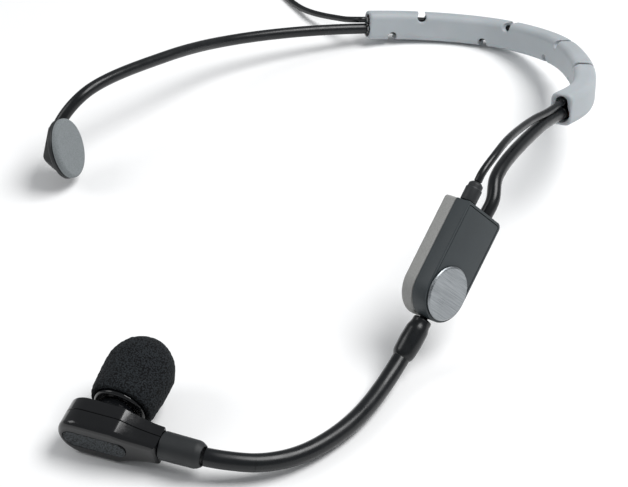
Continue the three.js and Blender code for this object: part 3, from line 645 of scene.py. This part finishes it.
def easedEnds(path, rounding=0.35, rows=5):
    # the same path with extra rows close to both ends, for the rounding
    s = distances(path)
    extra = rounding * (1 - np.cos(np.linspace(0, math.pi / 2, rows)))
    d = np.unique(np.concatenate([extra, s[(s > rounding) & (s < s[-1] - rounding)], s[-1] - extra]))
    return np.stack([np.interp(d, s, path[:, k]) for k in range(3)], 1)


wires = {"step": 1.2, "sides": 28, "bore": 1.2, "armGap": 0.6}


def wirePiece(name, path, slotName, replaced, rides, radius=body["wire"] / 2, bore=wires["bore"]):
    grid = tubeOf(easedEnds(path), radius, wires["sides"], wornUp, bore)
    return meshOf(name, grid, looks[slotName], rides, replaced, closedRows=bool(bore))


socketFloor = housing["top"] - housing["wall"] + housing["gap"]
wireSocket = housingIn((housing["wireX"], socketFloor, housing["seat"]))[0]
socketAt = nearest(band, wireSocket)
wirePiece("padArmJacket", stretch(band, 0.4, sleeveFrom - wires["armGap"], wires["step"]), "jacket",
          ["pad_arm_jacket"], "right_arm")
wirePiece("sleeveWireJacket", stretch(band, sleeveFrom + 0.15, sleeveTo - 0.15, wires["step"]), "jacket",
          ["band_jacket"], "neck")
wirePiece("boomArmJacket", stretch(band, sleeveTo + wires["armGap"], socketAt, wires["step"]), "jacket",
          ["boom_arm_jacket"], "left_arm")
lifted = stretch(band, sleeveFrom + 0.15, sleeveTo - 0.15, wires["step"]) + wornUp * body["cableLift"]
wirePiece("sleeveCable", lifted, "cable", ["sleeve_cable"], "neck", body["cable"] / 2, 0.0)

armShape = [(-4.3, 40.8, 7.3), (-4, 31, 7.8), (-2.6, 19.2, 8.4), (-0.5, 6.3, 8.7), (1, -3.4, 7.6)]
reliefTop = housing["top"] + housing["relief"]
armCable = spline([cableEntry, *worn([leftEar + p for p in armShape]),
                   housingIn((housing["cableX"], reliefTop + 3, housing["seat"]))[0],
                   housingIn((housing["cableX"], reliefTop + housing["gap"], housing["seat"]))[0]])
wirePiece("armCable", stretch(armCable, wires["armGap"], distances(armCable)[-1], 0.9), "cable",
          ["arm_cable"], "left_arm", body["cable"] / 2, 0.0)

freeCable = meshOf("freeCable", tubeOf(path, cord["diameter"] / 2, 14, roundEnds=(True, False)),
                   looks["cable"], "neck", ["free_cable_lead", "cable_coil", "free_cable_tail"])
print("wires and cables made")


# Neck sleeve: notched bar with a keyhole bore, its edges softened


def softened(obj, size, rounds=3):
    # the solid is remade from small cubes of that size and smoothed, which rounds every edge by about
    # two cubes
    remesh = obj.modifiers.new("remesh", "REMESH")
    remesh.mode = "VOXEL"
    remesh.voxel_size = size * mm
    remesh.use_smooth_shade = True
    if rounds:
        smoothing = obj.modifiers.new("smooth", "SMOOTH")
        smoothing.factor = 0.5
        smoothing.iterations = rounds
    applyAll(obj)
    obj.data.shade_smooth()
    return obj


def mainBore(grow):
    # outline of the bore: the wire's round below, the cable's narrower round above, open to each other
    low = np.radians(np.linspace(-220, 40, 22))
    high = np.radians(np.linspace(0, 180, 16))
    r = body["wire"] / 2 + grow
    s = body["cable"] / 2 + grow
    lower = np.stack([r * np.cos(low), r * np.sin(low)], 1)
    upper = np.stack([s * np.cos(high), body["cableLift"] + s * np.sin(high)], 1)
    return np.vstack([lower, upper])


def makeSleeve():
    top = sleeve["height"] - sleeve["below"]
    rows = easedEnds(stretch(band, sleeveFrom, sleeveTo, 1.5), 0.9)
    s = distances(rows)
    near = np.clip(1 - np.minimum(s, s[-1] - s) / 0.9, 0, 1)
    scale = 1 - 0.16 * (1 - np.sqrt(1 - near**2))
    middle = wornUp * (top - sleeve["below"]) / 2
    section = roundRect(sleeve["thick"], -sleeve["height"] / 2, sleeve["height"] / 2, sleeve["corner"], 9)
    obj = meshOf("neckSleeve", sweepGrid(rows + middle, section, wornUp, scale), looks["sleeve"],
                 "neck", ["neck_sleeve"])
    cutters = [cutter(sweepGrid(stretch(band, sleeveFrom - 2, sleeveTo + 2, 1.5), mainBore(0.45), wornUp))]
    for start, end in ((sleeveFrom - 1, sleeveFrom + 2.4), (sleeveTo - 2.4, sleeveTo + 1)):
        cutters.append(cutter(sweepGrid(stretch(band, start, end, 0.6), mainBore(0.85), wornUp)))
    side, lift, along = frames(stretch(band, sleeveFrom, sleeveTo, 1), wornUp)
    edges = ((sleeve["firstBottom"], -sleeve["below"], -1), (sleeve["firstTop"], top, 1))
    for i in range(sleeve["pairs"]):
        for first, edge, sign in edges:
            at = first + i * sleeve["pitch"]
            centre = stretch(band, sleeveFrom + at, sleeveFrom + at + 1, 1)[0]
            notchIn = place(centre, along[at], lift[at], -side[at])
            eye = circle(sleeve["notch"] / 2, 28) + (0, edge - sign * (sleeve["notch"] / 2 - 0.35))
            mouth = roundRect(sleeve["mouth"], edge + sign * 0.9 - 2, edge + sign * 0.9 + 2, 0.3, 4)
            for outline in (eye, mouth):
                ends = [np.column_stack([outline, np.full(len(outline), z)]) for z in (-6.0, 6.0)]
                grid = np.stack([notchIn(e) for e in ends])
                cutters.append(cutter(grid))
    cutBy(obj, cutters)
    return softened(obj, 0.3, 5)


makeSleeve()
print("sleeve made")


# Housing with its cover, badge, relief and pad


def housingOutline(inset, corner=1.6, perCorner=9):
    # round at the bottom, square at the top, with the back corner rounded; the same count at every inset
    r = housing["width"] / 2 - inset
    top = housing["top"] - inset
    c = max(corner - inset, 0.3)
    low = np.linspace(math.pi, 2 * math.pi, 49)
    high = np.linspace(0, math.pi / 2, perCorner)
    front = 0.35
    return np.vstack([
        np.stack([r * np.cos(low), r * np.sin(low)], 1),
        np.stack([r - c + c * np.cos(high), top - c + c * np.sin(high)], 1),
        np.stack([-r + front - front * np.sin(high), top - front + front * np.cos(high)], 1),
    ])


def stacked(outlineOf, levels, frameOf):
    # a solid whose rows are an outline at given insets and heights, in a frame
    rows = [np.column_stack([outlineOf(inset), np.full(len(outlineOf(inset)), z)]) for inset, z in levels]
    return np.stack([frameOf(row) for row in rows])


def rod(frameOf, x, y, radius, start, end, sides=32, axis="z"):
    # a round bar along one axis of a frame, with x and y its place on the other two
    c = circle(radius, sides)
    rows = []
    for h in (start, end):
        level = np.full(sides, h)
        if axis == "z":
            rows.append(np.column_stack([c[:, 0] + x, c[:, 1] + y, level]))
        elif axis == "y":
            rows.append(np.column_stack([c[:, 0] + x, level, -c[:, 1] + y]))
        else:
            rows.append(np.column_stack([level, c[:, 0] + x, c[:, 1] + y]))
    return np.stack([frameOf(r) for r in rows])


def flatCoords(obj, origin, axes):
    # stores each point's place in the frame's own axes, for a finish that runs along them
    co = np.empty(len(obj.data.vertices) * 3, np.float32)
    obj.data.vertices.foreach_get("co", co)
    local = (co.reshape(-1, 3) - np.array(origin) * mm) @ np.array(axes).T
    attribute = obj.data.attributes.new("flat", "FLOAT_VECTOR", "POINT")
    attribute.data.foreach_set("vector", local.astype(np.float32).ravel())
    return obj


def arcLevels(inset, z, radius, fromAngle, toAngle, count=5):
    # insets and heights round an edge: the arc's middle lies a radius in and at height z
    a = np.radians(np.linspace(fromAngle, toAngle, count))
    return [(inset + radius - radius * math.cos(t), z + radius * math.sin(t)) for t in a]


def makeHousing():
    wall, floor = housing["wall"], -housing["thick"]
    edge = 0.2
    levels = [(edge, floor)] + arcLevels(0, floor + edge, edge, -60, 0) + arcLevels(0, -edge, edge, 0, 90)
    levels += [(wall - 0.06, 0), (wall, -0.08), (wall, -wall - 0.15), (2 * wall, -wall - 0.15),
               (2 * wall, floor + wall + 0.25), (2 * wall + 0.25, floor + wall)]
    tray = meshOf("housingTray", stacked(housingOutline, levels, housingIn), looks["housing"],
                  "left_arm", ["housing_tray"])
    seat, top = housing["seat"], housing["top"]
    socket = body["wire"] / 2 + housing["gap"]
    tools = [rod(housingIn, housing["wireX"], seat, socket, top - wall + 0.14, top + 2, axis="y"),
             rod(housingIn, housing["wireX"], seat, 1.1, 20, top + 1, axis="y"),
             rod(housingIn, housing["cableX"] + 0.6, seat, 1.35, 19, top + 1, axis="y"),
             rod(housingIn, 0, housing["collarSeat"], 1.45, -9, -5.4, axis="y")]
    tools += [rod(housingIn, x, y, 0.55, floor + 0.3, floor + 2, 16)
              for x in (0.9, 5.2) for y in (14.6, 17.9)]
    cutBy(tray, [cutter(t) for t in tools])
    smoothEdges(tray, 40)
    inner = wall + housing["gap"]
    levels = [(inner, -wall)] + [(inner, -0.25)] + arcLevels(inner, -0.2, 0.2, 0, 90)
    cover = meshOf("housingCover", stacked(housingOutline, levels, housingIn), looks["housing"], "left_arm",
                   ["housing_cover"])
    cutBy(cover, [cutter(rod(housingIn, 0, 0, 1.1, -2, 1))])
    smoothEdges(cover, 40)
    r, low = housing["badge"] / 2, housing["gap"]
    high = low + housing["badgeThick"]
    profile = smoothProfile([(0.01, -wall), (0.95, -wall), (0.95, low), (r - 0.12, low), (r, low + 0.12),
                             (r, high - 0.42), (r - 0.5, high), (r - 0.75, high - 0.06), (0.02, high - 0.06)],
                            0.07, 4)
    badge = meshOf("badgeDisc", turnedGrid(profile, housingIn, 96), looks["badge"],
                   "left_arm", ["badge"], smoothAngle=28)
    flatCoords(badge, housingOrigin, housingAxes)


def makeRelief():
    seat = housing["top"] + housing["gap"]
    r, long = 2.3, housing["relief"] - housing["gap"]
    standIn = place(housingIn((housing["cableX"], seat, housing["seat"]))[0],
                    housingAxes[2], housingAxes[0], housingAxes[1])
    profile = [(0.02, 0), (r, 0), (r, long - 1.9), (r - 0.25, long - 1.7), (r - 0.3, long - 0.6), (1.3, long),
               (1.16, long), (1.16, long - 1.5), (0.02, long - 1.5)]
    obj = meshOf("cableRelief", turnedGrid(smoothProfile(profile, 0.22, 5), standIn, 40),
                 looks["relief_rubber"], "left_arm", ["cable_relief"])
    stem = rod(housingIn, housing["cableX"] + 0.6, housing["seat"], 1.2, housing["top"] - 2.2, seat + 0.4,
               24, "y")
    cutBy(obj, [cutter(stem)], join=True)
    smoothEdges(obj, 40)


def makeLeftPad():
    top = -housing["thick"] - housing["gap"]
    low = top - housing["pad"]
    levels = [(0.9, low)] + arcLevels(0, low + 0.9, 0.9, -84, 0, 8) + arcLevels(0, top - 0.3, 0.3, 0, 90)
    obj = meshOf("leftTemplePad", stacked(housingOutline, levels, housingIn), looks["skinned_foam"],
                 "left_arm", ["left_temple_pad"], smoothAngle=60)
    notch = rod(housingIn, 0, housing["collarSeat"] - 0.5, 2.95, -12, -housing["width"] / 2 + 1.2, axis="y")
    cutBy(obj, [cutter(notch)])
    softened(obj, 0.3, 3)


makeHousing()
makeRelief()
makeLeftPad()
print("housing made")


# Round temple pad and its holder


def makeRightPad():
    r, thick = pad["diameter"] / 2, pad["thick"]
    profile = [(0.02, -thick), (r - 0.25, -thick), (r, -thick + 0.25), (r, -0.75), (r - 0.7, -0.02),
               (r - 1.5, -0.12), (0.02, -0.22)]
    dense = smoothProfile(profile, 0.5, 6)
    obj = meshOf("rightTemplePad", turnedGrid(dense, padIn, 96), looks["temple_foam"],
                 "right_arm", ["right_temple_pad"], smoothAngle=60)
    back, front = pad["back"], -thick - pad["gap"]
    plate = [(0.02, back), (r - 0.45, back), (r, back + 0.45), (r, front), (0.02, front)]
    holder = meshOf("padHolder", turnedGrid(smoothProfile(plate, 0.3, 5), padIn, 96), looks["holder"],
                    "right_arm", ["pad_holder"])
    a = math.radians(pad["heading"])
    u, v = np.array([math.cos(a), math.sin(a), 0]), np.array([-math.sin(a), math.cos(a), 0])
    wedge = smoothProfile([(0, 0.6), (-0.82 * r, 0.6), (-0.82 * r, -0.4), (-0.5 * r, -0.8 * pad["reach"]),
                           (-0.33 * r, -pad["reach"]), (0.84 * r, -3.9), (0.92 * r, 0.6), (0.1, 0.6)], 0.9, 6)
    rows = []
    for offset, shrink in ((-1, 0.9), (-0.9, 0.97), (-0.75, 1), (0.75, 1), (0.9, 0.97), (1, 0.9)):
        points = (wedge[:, :1] - 0.6) * shrink * u + 0.6 * u + offset * pad["width"] / 2 * v
        points = points + np.array([[0, 0, back]]) + wedge[:, 1:] * shrink * np.array([[0, 0, 1]])
        rows.append(padIn(points))
    cutBy(holder, [cutter(np.stack(rows))], join=True)
    grip = sweepGrid(stretch(band, 0, 18, 1), circle(body["wire"] / 2 + 0.18, 32), wornUp)
    cutBy(holder, [cutter(grip)])
    softened(holder, 0.22, 4)


makeRightPad()
print("right pad made")


# Gooseneck: one rubber skin in lengths that each lie over a joint


def makeCollar():
    neck, full, ball = 2.6, 3.2, goose["diameter"] / 2
    profile = [(0.02, -0.2), (1.1, -0.2), (1.1, 1.1), (neck, 1.1), (neck, 2.8), (full - 0.1, 4.2), (full, 8),
               (full - 0.2, 11.8), (ball, 13.2), (0.02, 13.2)]
    meshOf("gooseneckCollar", turnedGrid(smoothProfile(profile, 0.75, 7), collarIn, 48), looks["jacket"],
           "left_arm", ["gooseneck_collar"], smoothAngle=40)


def makeGooseneck():
    joints = [gooseLength * k / goose["count"] for k in range(goose["count"] + 1)]
    middles = [0.0] + [(a + b) / 2 for a, b in zip(joints, joints[1:])] + [gooseLength + 0.5]
    for k, (start, end) in enumerate(zip(middles, middles[1:])):
        joint = joints[k]
        line = stretch(gooseneck, start, end, 0.7)
        grid = sweepGrid(line, circle(goose["diameter"] / 2, 32))
        nodes = [f"gooseneck_{k + 1}"] if k < goose["count"] else []
        obj = meshOf(f"gooseneckSkin{k + 1}", grid, looks["jacket"], None, nodes)
        reach = 4.5 if 0 < k < goose["count"] else 3.0
        line = stretch(gooseneck, max(joint - reach, 0), min(joint + reach, gooseLength + 0.5), 1)
        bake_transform(obj)


makeCollar()
makeGooseneck()
print("gooseneck made")


# Microphone

micTurned = place(micOrigin, micAxes[1], micAxes[2], micAxes[0])


def quadratic(a, b, c, count):
    # curve from a to c that bends towards b
    t = np.linspace(0, 1, count)[:, None]
    return (1 - t) ** 2 * np.array(a) + 2 * t * (1 - t) * np.array(b) + t**2 * np.array(c)


def shellPlan(inset):
    # counter-clockwise: half a circle at the tip, and a curve on either side that eases in to the boot
    r, tail, end = mic["half"] - inset, mic["bootWide"] / 2 - inset, mic["tail"] - inset
    back = mic["half"] - mic["tip"]
    a = np.linspace(math.pi / 2, 1.5 * math.pi, 41)
    tip = np.stack([back + r * np.cos(a), r * np.sin(a)], 1)
    upper = quadratic((end, tail), (9, tail + 0.6), (4, r), 14)
    lower = quadratic((4, -r), (9, -tail - 0.6), (end, -tail), 14)
    return np.vstack([upper, tip, lower])


def stadium(length, width, grow=0.0):
    # the grille's slot, along the microphone
    r = width / 2 + grow
    half = (length - width) / 2
    a = np.linspace(-math.pi / 2, math.pi / 2, 15)
    arc = np.stack([np.cos(a), np.sin(a)], 1) * r
    return np.vstack([arc + (half, 0), -arc - (half, 0)]) + (-1.4, 0)


def micTapered(points):
    # both shells get thinner from the capsule to the boot: height times a factor that eases from 1 to 0.8
    t = np.clip((points[:, 0] - 2) / 12, 0, 1)
    share = 1 - 0.2 * t * t * (3 - 2 * t)
    return micIn(points * np.stack([np.ones_like(share), np.ones_like(share), share], 1))


def makeMic():
    low, wall = -mic["lower"], 1.0
    rounding = 1.6
    levels = [(rounding, low)] + arcLevels(0, low + rounding, rounding, -82, 0, 9)
    levels += [(0, -0.12), (0.12, 0), (wall, 0), (wall, low + 2.6), (rounding + 0.4, low + 1.4)]
    lower = meshOf("micLowerShell", stacked(shellPlan, levels, micTapered), looks["mic_gloss"],
                   "microphone", ["mic_lower_shell"])
    length, width = mic["grille"]
    recess = stacked(lambda grow: stadium(length, width, grow),
                     [(0.12, low - 1), (0.12, low), (0, low + 0.12), (0, low + 0.6)], micIn)
    slot = stacked(lambda grow: stadium(length - 3, width - 2.4, grow), [(0, low - 1), (0, 0)], micIn)
    cable = rod(micIn, 0, 0, 1.3, mic["tail"] - 2, mic["tail"] + 1, 24, "x")
    cutBy(lower, [cutter(recess), cutter(slot), cutter(cable)])
    smoothEdges(lower, 32)
    top, gap = mic["upper"], mic["gap"]
    levels = [(wall, gap), (0.12, gap), (0, gap + 0.12), (0, top - 0.5)]
    levels += arcLevels(0, top - 0.5, 0.5, 10, 90, 6)
    upper = meshOf("micUpperShell", stacked(shellPlan, levels, micTapered), looks["mic_gloss"],
                   "microphone", ["mic_upper_shell"])
    neck = [(0.02, top - 1), (5.8, top - 1), (5.8, top), (5.2, top + 2.2), (0.02, top + 2.2)]
    cutBy(upper, [cutter(turnedGrid(smoothProfile(neck, 0.2, 4), micIn, 64))], join=True)
    cavity = stacked(shellPlan, [(wall, -1), (wall, top - 1)], micTapered)
    seat = rod(micIn, 0, 0, mic["capsule"] / 2 + 0.3, -1, top + 4, 64)
    cable = rod(micIn, 0, 0, 1.3, mic["tail"] - 2, mic["tail"] + 1, 24, "x")
    cutBy(upper, [cutter(cavity), cutter(seat), cutter(cable)])
    smoothEdges(upper, 32)
    screen = stacked(lambda grow: stadium(length, width, grow),
                     [(-gap, low + 0.05), (-gap, low + 0.37), (-gap - 0.08, low + 0.45)], micIn)
    meshOf("rearGrille", screen, looks["grille"], "microphone", ["rear_grille"])
    start, end = mic["tail"] + gap, mic["tail"] + mic["boot"]
    r = mic["bootWide"] / 2
    cup = goose["diameter"] / 2 + 0.1
    profile = [(1.2, start + 3), (1.2, start), (r, start), (r + 0.12, start + 0.2), (r, end - 1.3),
               (r - 0.8, end), (cup, end), (cup, end - 1.2), (1.2, end - 2.4)]
    meshOf("micBoot", turnedGrid(smoothProfile(profile, 0.8, 7), micTurned, 56), looks["relief_rubber"],
           "microphone", ["mic_boot"], closedRows=True)
    low = top + 2.2 + gap
    high, out, hole = low + 2.6, mic["ring"] / 2, mic["capsule"] / 2 + 0.3
    profile = [(hole, low), (out - 0.5, low), (out, low + 0.5), (out - 0.1, high - 0.5), (out - 0.8, high),
               (hole, high)]
    meshOf("capsuleCollar", turnedGrid(smoothProfile(profile, 0.25, 5), micIn, 72), looks["mic_gloss"],
           "microphone", ["capsule_collar"], closedRows=True)


foam = {"radius": 9.2, "length": 21.2, "shoulder": 0.5, "from": 7.5, "bore": 7.2}


def makeWindscreen():
    # turned foam, its surface pushed in and out by a smooth random field, with a bore for collar and capsule
    r, long, start = foam["radius"], foam["length"], foam["from"]
    shoulder = foam["shoulder"] * long
    profile = [(foam["bore"], start), (0.88 * r, start), (0.95 * r, start + 0.09 * long),
               (r, start + shoulder)]
    angles = np.radians(np.linspace(4, 89.9, 30))
    dome = [(r * math.cos(t), start + shoulder + (long - shoulder) * math.sin(t)) for t in angles]
    inner = [(0.05, 13.4), (5.1, 13.4), (5.1, 9.2), (foam["bore"], 9.1)]
    outline = np.vstack([smoothProfile(profile, 0.9, 6), dome, inner[:1], smoothProfile(inner, 0.4, 4)[1:]])
    s = np.concatenate([[0], np.cumsum(np.linalg.norm(np.diff(outline, axis=0), axis=1))])
    d = np.linspace(0, s[-1], 260)
    fine = np.stack([np.interp(d, s, outline[:, k]) for k in range(2)], 1)
    grid = turnedGrid(fine, place((0, 0, 0), (1, 0, 0), (0, 1, 0), (0, 0, 1)), 200)
    random = np.random.default_rng(7)
    waves = random.normal(size=(90, 3))
    waves = waves / np.linalg.norm(waves, axis=1, keepdims=True) * random.uniform(1.2, 6.5, (90, 1))
    shift = random.uniform(0, 2 * math.pi, 90)
    field = np.cos(grid @ waves.T + shift).sum(-1) / math.sqrt(45)
    outside = (fine[:, 0] > 0.5) & (np.arange(len(fine)) < 215)
    normal = grid - np.array([0, 0, start + shoulder])
    normal = normal / np.linalg.norm(normal, axis=-1, keepdims=True)
    grid = grid + normal * (0.045 * field * outside[:, None])[..., None]
    grid = micIn(grid.reshape(-1, 3)).reshape(grid.shape)
    obj = meshOf("foamWindscreen", grid, looks["windscreen_foam"], "windscreen_body",
                 ["windscreen"], closedRows=True, smoothAngle=60)


makeMic()
makeWindscreen()
print("microphone made")


# Tie and plug


def makeTie():
    # a strap round the bundle: a closed loop of rounded rectangle section
    gap, thick, wide = 0.45, cord["strap"], 4.0
    half = (3 * cord["pitch"]) / 2 + gap + thick / 2
    low, high = thick / 2, thick + gap * 2 + 1.0 + 4 * cord["pitch"] + thick / 2
    loop = roundRect(2 * half, low, high, 1.3, 10)
    loop = np.vstack([loop, loop[:1]])
    s = np.concatenate([[0], np.cumsum(np.linalg.norm(np.diff(loop, axis=0), axis=1))])
    d = np.linspace(0, s[-1], 90, endpoint=False)
    line = np.stack([np.interp(d, s, loop[:, k]) for k in range(2)], 1)
    along = unit(np.roll(line, -1, 0) - np.roll(line, 1, 0))
    normal = np.stack([along[:, 1], -along[:, 0]], 1)
    section = roundRect(wide, -thick / 2, thick / 2, 0.25, 5)
    centre = np.array(cord["coilMiddle"]) + cordBase[:2]
    flat = line[:, None] + normal[:, None] * section[None, :, 1:]
    x = centre[0] - cord["coilRadius"] - flat[..., 0]
    y = centre[1] + np.broadcast_to(section[None, :, 0], x.shape)
    grid = np.stack([x, y, flat[..., 1]], -1)
    return meshOf("coilTie", grid, looks["strap"], "neck", ["coil_tie"], closedRows=True)


plug = {"radius": 4.8, "long": 17.0, "boot": 17.0}
plugOrigin = cordBase + np.array(cord["plugFront"])
plugIn = place(plugOrigin, (1, 0, 0), (0, 1, 0), zUp)
plugTurned = place(plugOrigin, (0, 1, 0), zUp, (1, 0, 0))


def makePlug():
    r, back = plug["radius"], -plug["boot"]
    boot = [(0.02, back + 7), (1.16, back + 7), (1.16, back), (1.75, back), (2.0, back + 0.4)]
    for x in np.arange(back + 1.6, -4, 1.9):
        wide = 2.0 + (x - back) / plug["boot"] * 2.2
        boot += [(wide, x), (wide - 0.45, x + 0.15), (wide - 0.4, x + 0.75), (wide + 0.12, x + 0.9)]
    boot += [(4.2, -1.2), (4.2, 0), (2.6, 0), (2.6, 4.5), (0.02, 4.5)]
    bootPiece = meshOf("plugBoot", turnedGrid(smoothProfile(boot, 0.18, 3), plugTurned, 56),
                       looks["relief_rubber"], "neck", ["plug_boot"])
    end = plug["long"]
    shell = [(2.75, 0.3), (r - 0.5, 0.3), (r, 0.8), (r, 4.2), (r - 0.14, 4.35), (r - 0.14, 4.75), (r, 4.9),
             (r, end - 0.4), (r - 0.35, end), (4.15, end), (4.0, end - 0.2), (4.0, 5), (2.75, 5)]
    shellPiece = meshOf("plugShell", turnedGrid(smoothProfile(shell, 0.12, 3), plugTurned, 72),
                        looks["nickel"], "neck", ["plug_shell"], closedRows=True)
    window = stacked(lambda grow: roundRect(5.3, -1.45, 1.45, 0.3, 4) + (11, 0), [(0, 2), (0, 6)], plugIn)
    cutBy(shellPiece, [cutter(window)])
    smoothEdges(shellPiece, 35)
    latch = stacked(lambda inset: roundRect(5 - 2 * inset, -1.3 + inset, 1.3 - inset, 0.3, 4) + (11, 0),
                    [(0.1, 3.25), (0, 3.35), (0, 5.1), (0.2, 5.3)], plugIn)
    latchPiece = meshOf("plugLatch", latch, looks["mic_gloss"], "latch", ["plug_latch"])
    return [bootPiece, shellPiece, latchPiece]


tie = makeTie()
onCord = [tie, *makePlug(), *[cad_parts[n] for n in (
    "plug_insert", "plug_contact_1", "plug_contact_2", "plug_contact_3", "plug_contact_4")]]
print("tie and plug made")


# CAD pieces that stay as they are get real finishes

kept = {
    "spring_steel": ["pad_arm_core", "band_core", "boom_arm_core", "gooseneck_core_1", "gooseneck_core_2",
                     "gooseneck_core_3"],
    "nickel": ["wire_clamp", "clamp_screw_1", "clamp_screw_2", "mic_capsule", "capsule_screen"],
    "relief_rubber": ["capsule_gasket"], "insert": ["plug_insert"], "board": ["circuit_board"],
    "chip": ["amplifier_chip"], "capacitor": ["filter_capacitor", "coupling_capacitor"],
    "contact": [f"plug_contact_{k}" for k in (1, 2, 3, 4)],
}
for slotName, names in kept.items():
    for name in names:
        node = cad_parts[name]
        node.data.materials.clear()
        node.data.materials.append(looks[slotName])
print("inner pieces finished")


# Table and light

studio = {
    "floor": 4000, "backdrop": "#f4f7fa", "backdropLight": 0.34,
    "softboxAt": (420, 260, 900), "softboxWatts": 9.5, "softboxSize": (700, 500),
    "fillAt": (-700, -500, 700), "fillWatts": 2.6, "fillSize": (500, 500),
}


def areaLight(name, at, target, watts, size):
    # a rectangular softbox whose lit face looks at the target
    data = bpy.data.lights.new(name, "AREA")
    data.shape = "RECTANGLE"
    data.size, data.size_y = size[0] * mm, size[1] * mm
    data.energy = watts
    light = bpy.data.objects.new(name, data)
    bpy.context.scene.collection.objects.link(light)
    light.location = Vector(at) * mm
    aim = (Vector(target) - Vector(at)).normalized()
    light.rotation_euler = aim.to_track_quat("-Z", "Y").to_euler()


def makeStudio():
    half = studio["floor"] / 2
    corners = np.array([[-half, -half, 0], [half, -half, 0], [half, half, 0], [-half, half, 0]]) * mm
    mesh = bpy.data.meshes.new("table")
    mesh.from_pydata(corners.tolist(), [], [(0, 1, 2, 3)])
    floor = finishPiece("table", mesh, material("whitePaperTable", "#fbfbfb", 0.7), None, ())
    world = bpy.data.worlds.new("studio")
    world.use_nodes = True
    background = world.node_tree.nodes["Background"]
    background.inputs["Color"].default_value = linear(studio["backdrop"])
    background.inputs["Strength"].default_value = studio["backdropLight"]
    bpy.context.scene.world = world
    areaLight("softbox", studio["softboxAt"], (0, 0, 0), studio["softboxWatts"], studio["softboxSize"])
    areaLight("sideFill", studio["fillAt"], (0, 0, 0), studio["fillWatts"], studio["fillSize"])
    bpy.context.scene.view_settings.view_transform = "Standard"


makeStudio()
print("studio made")
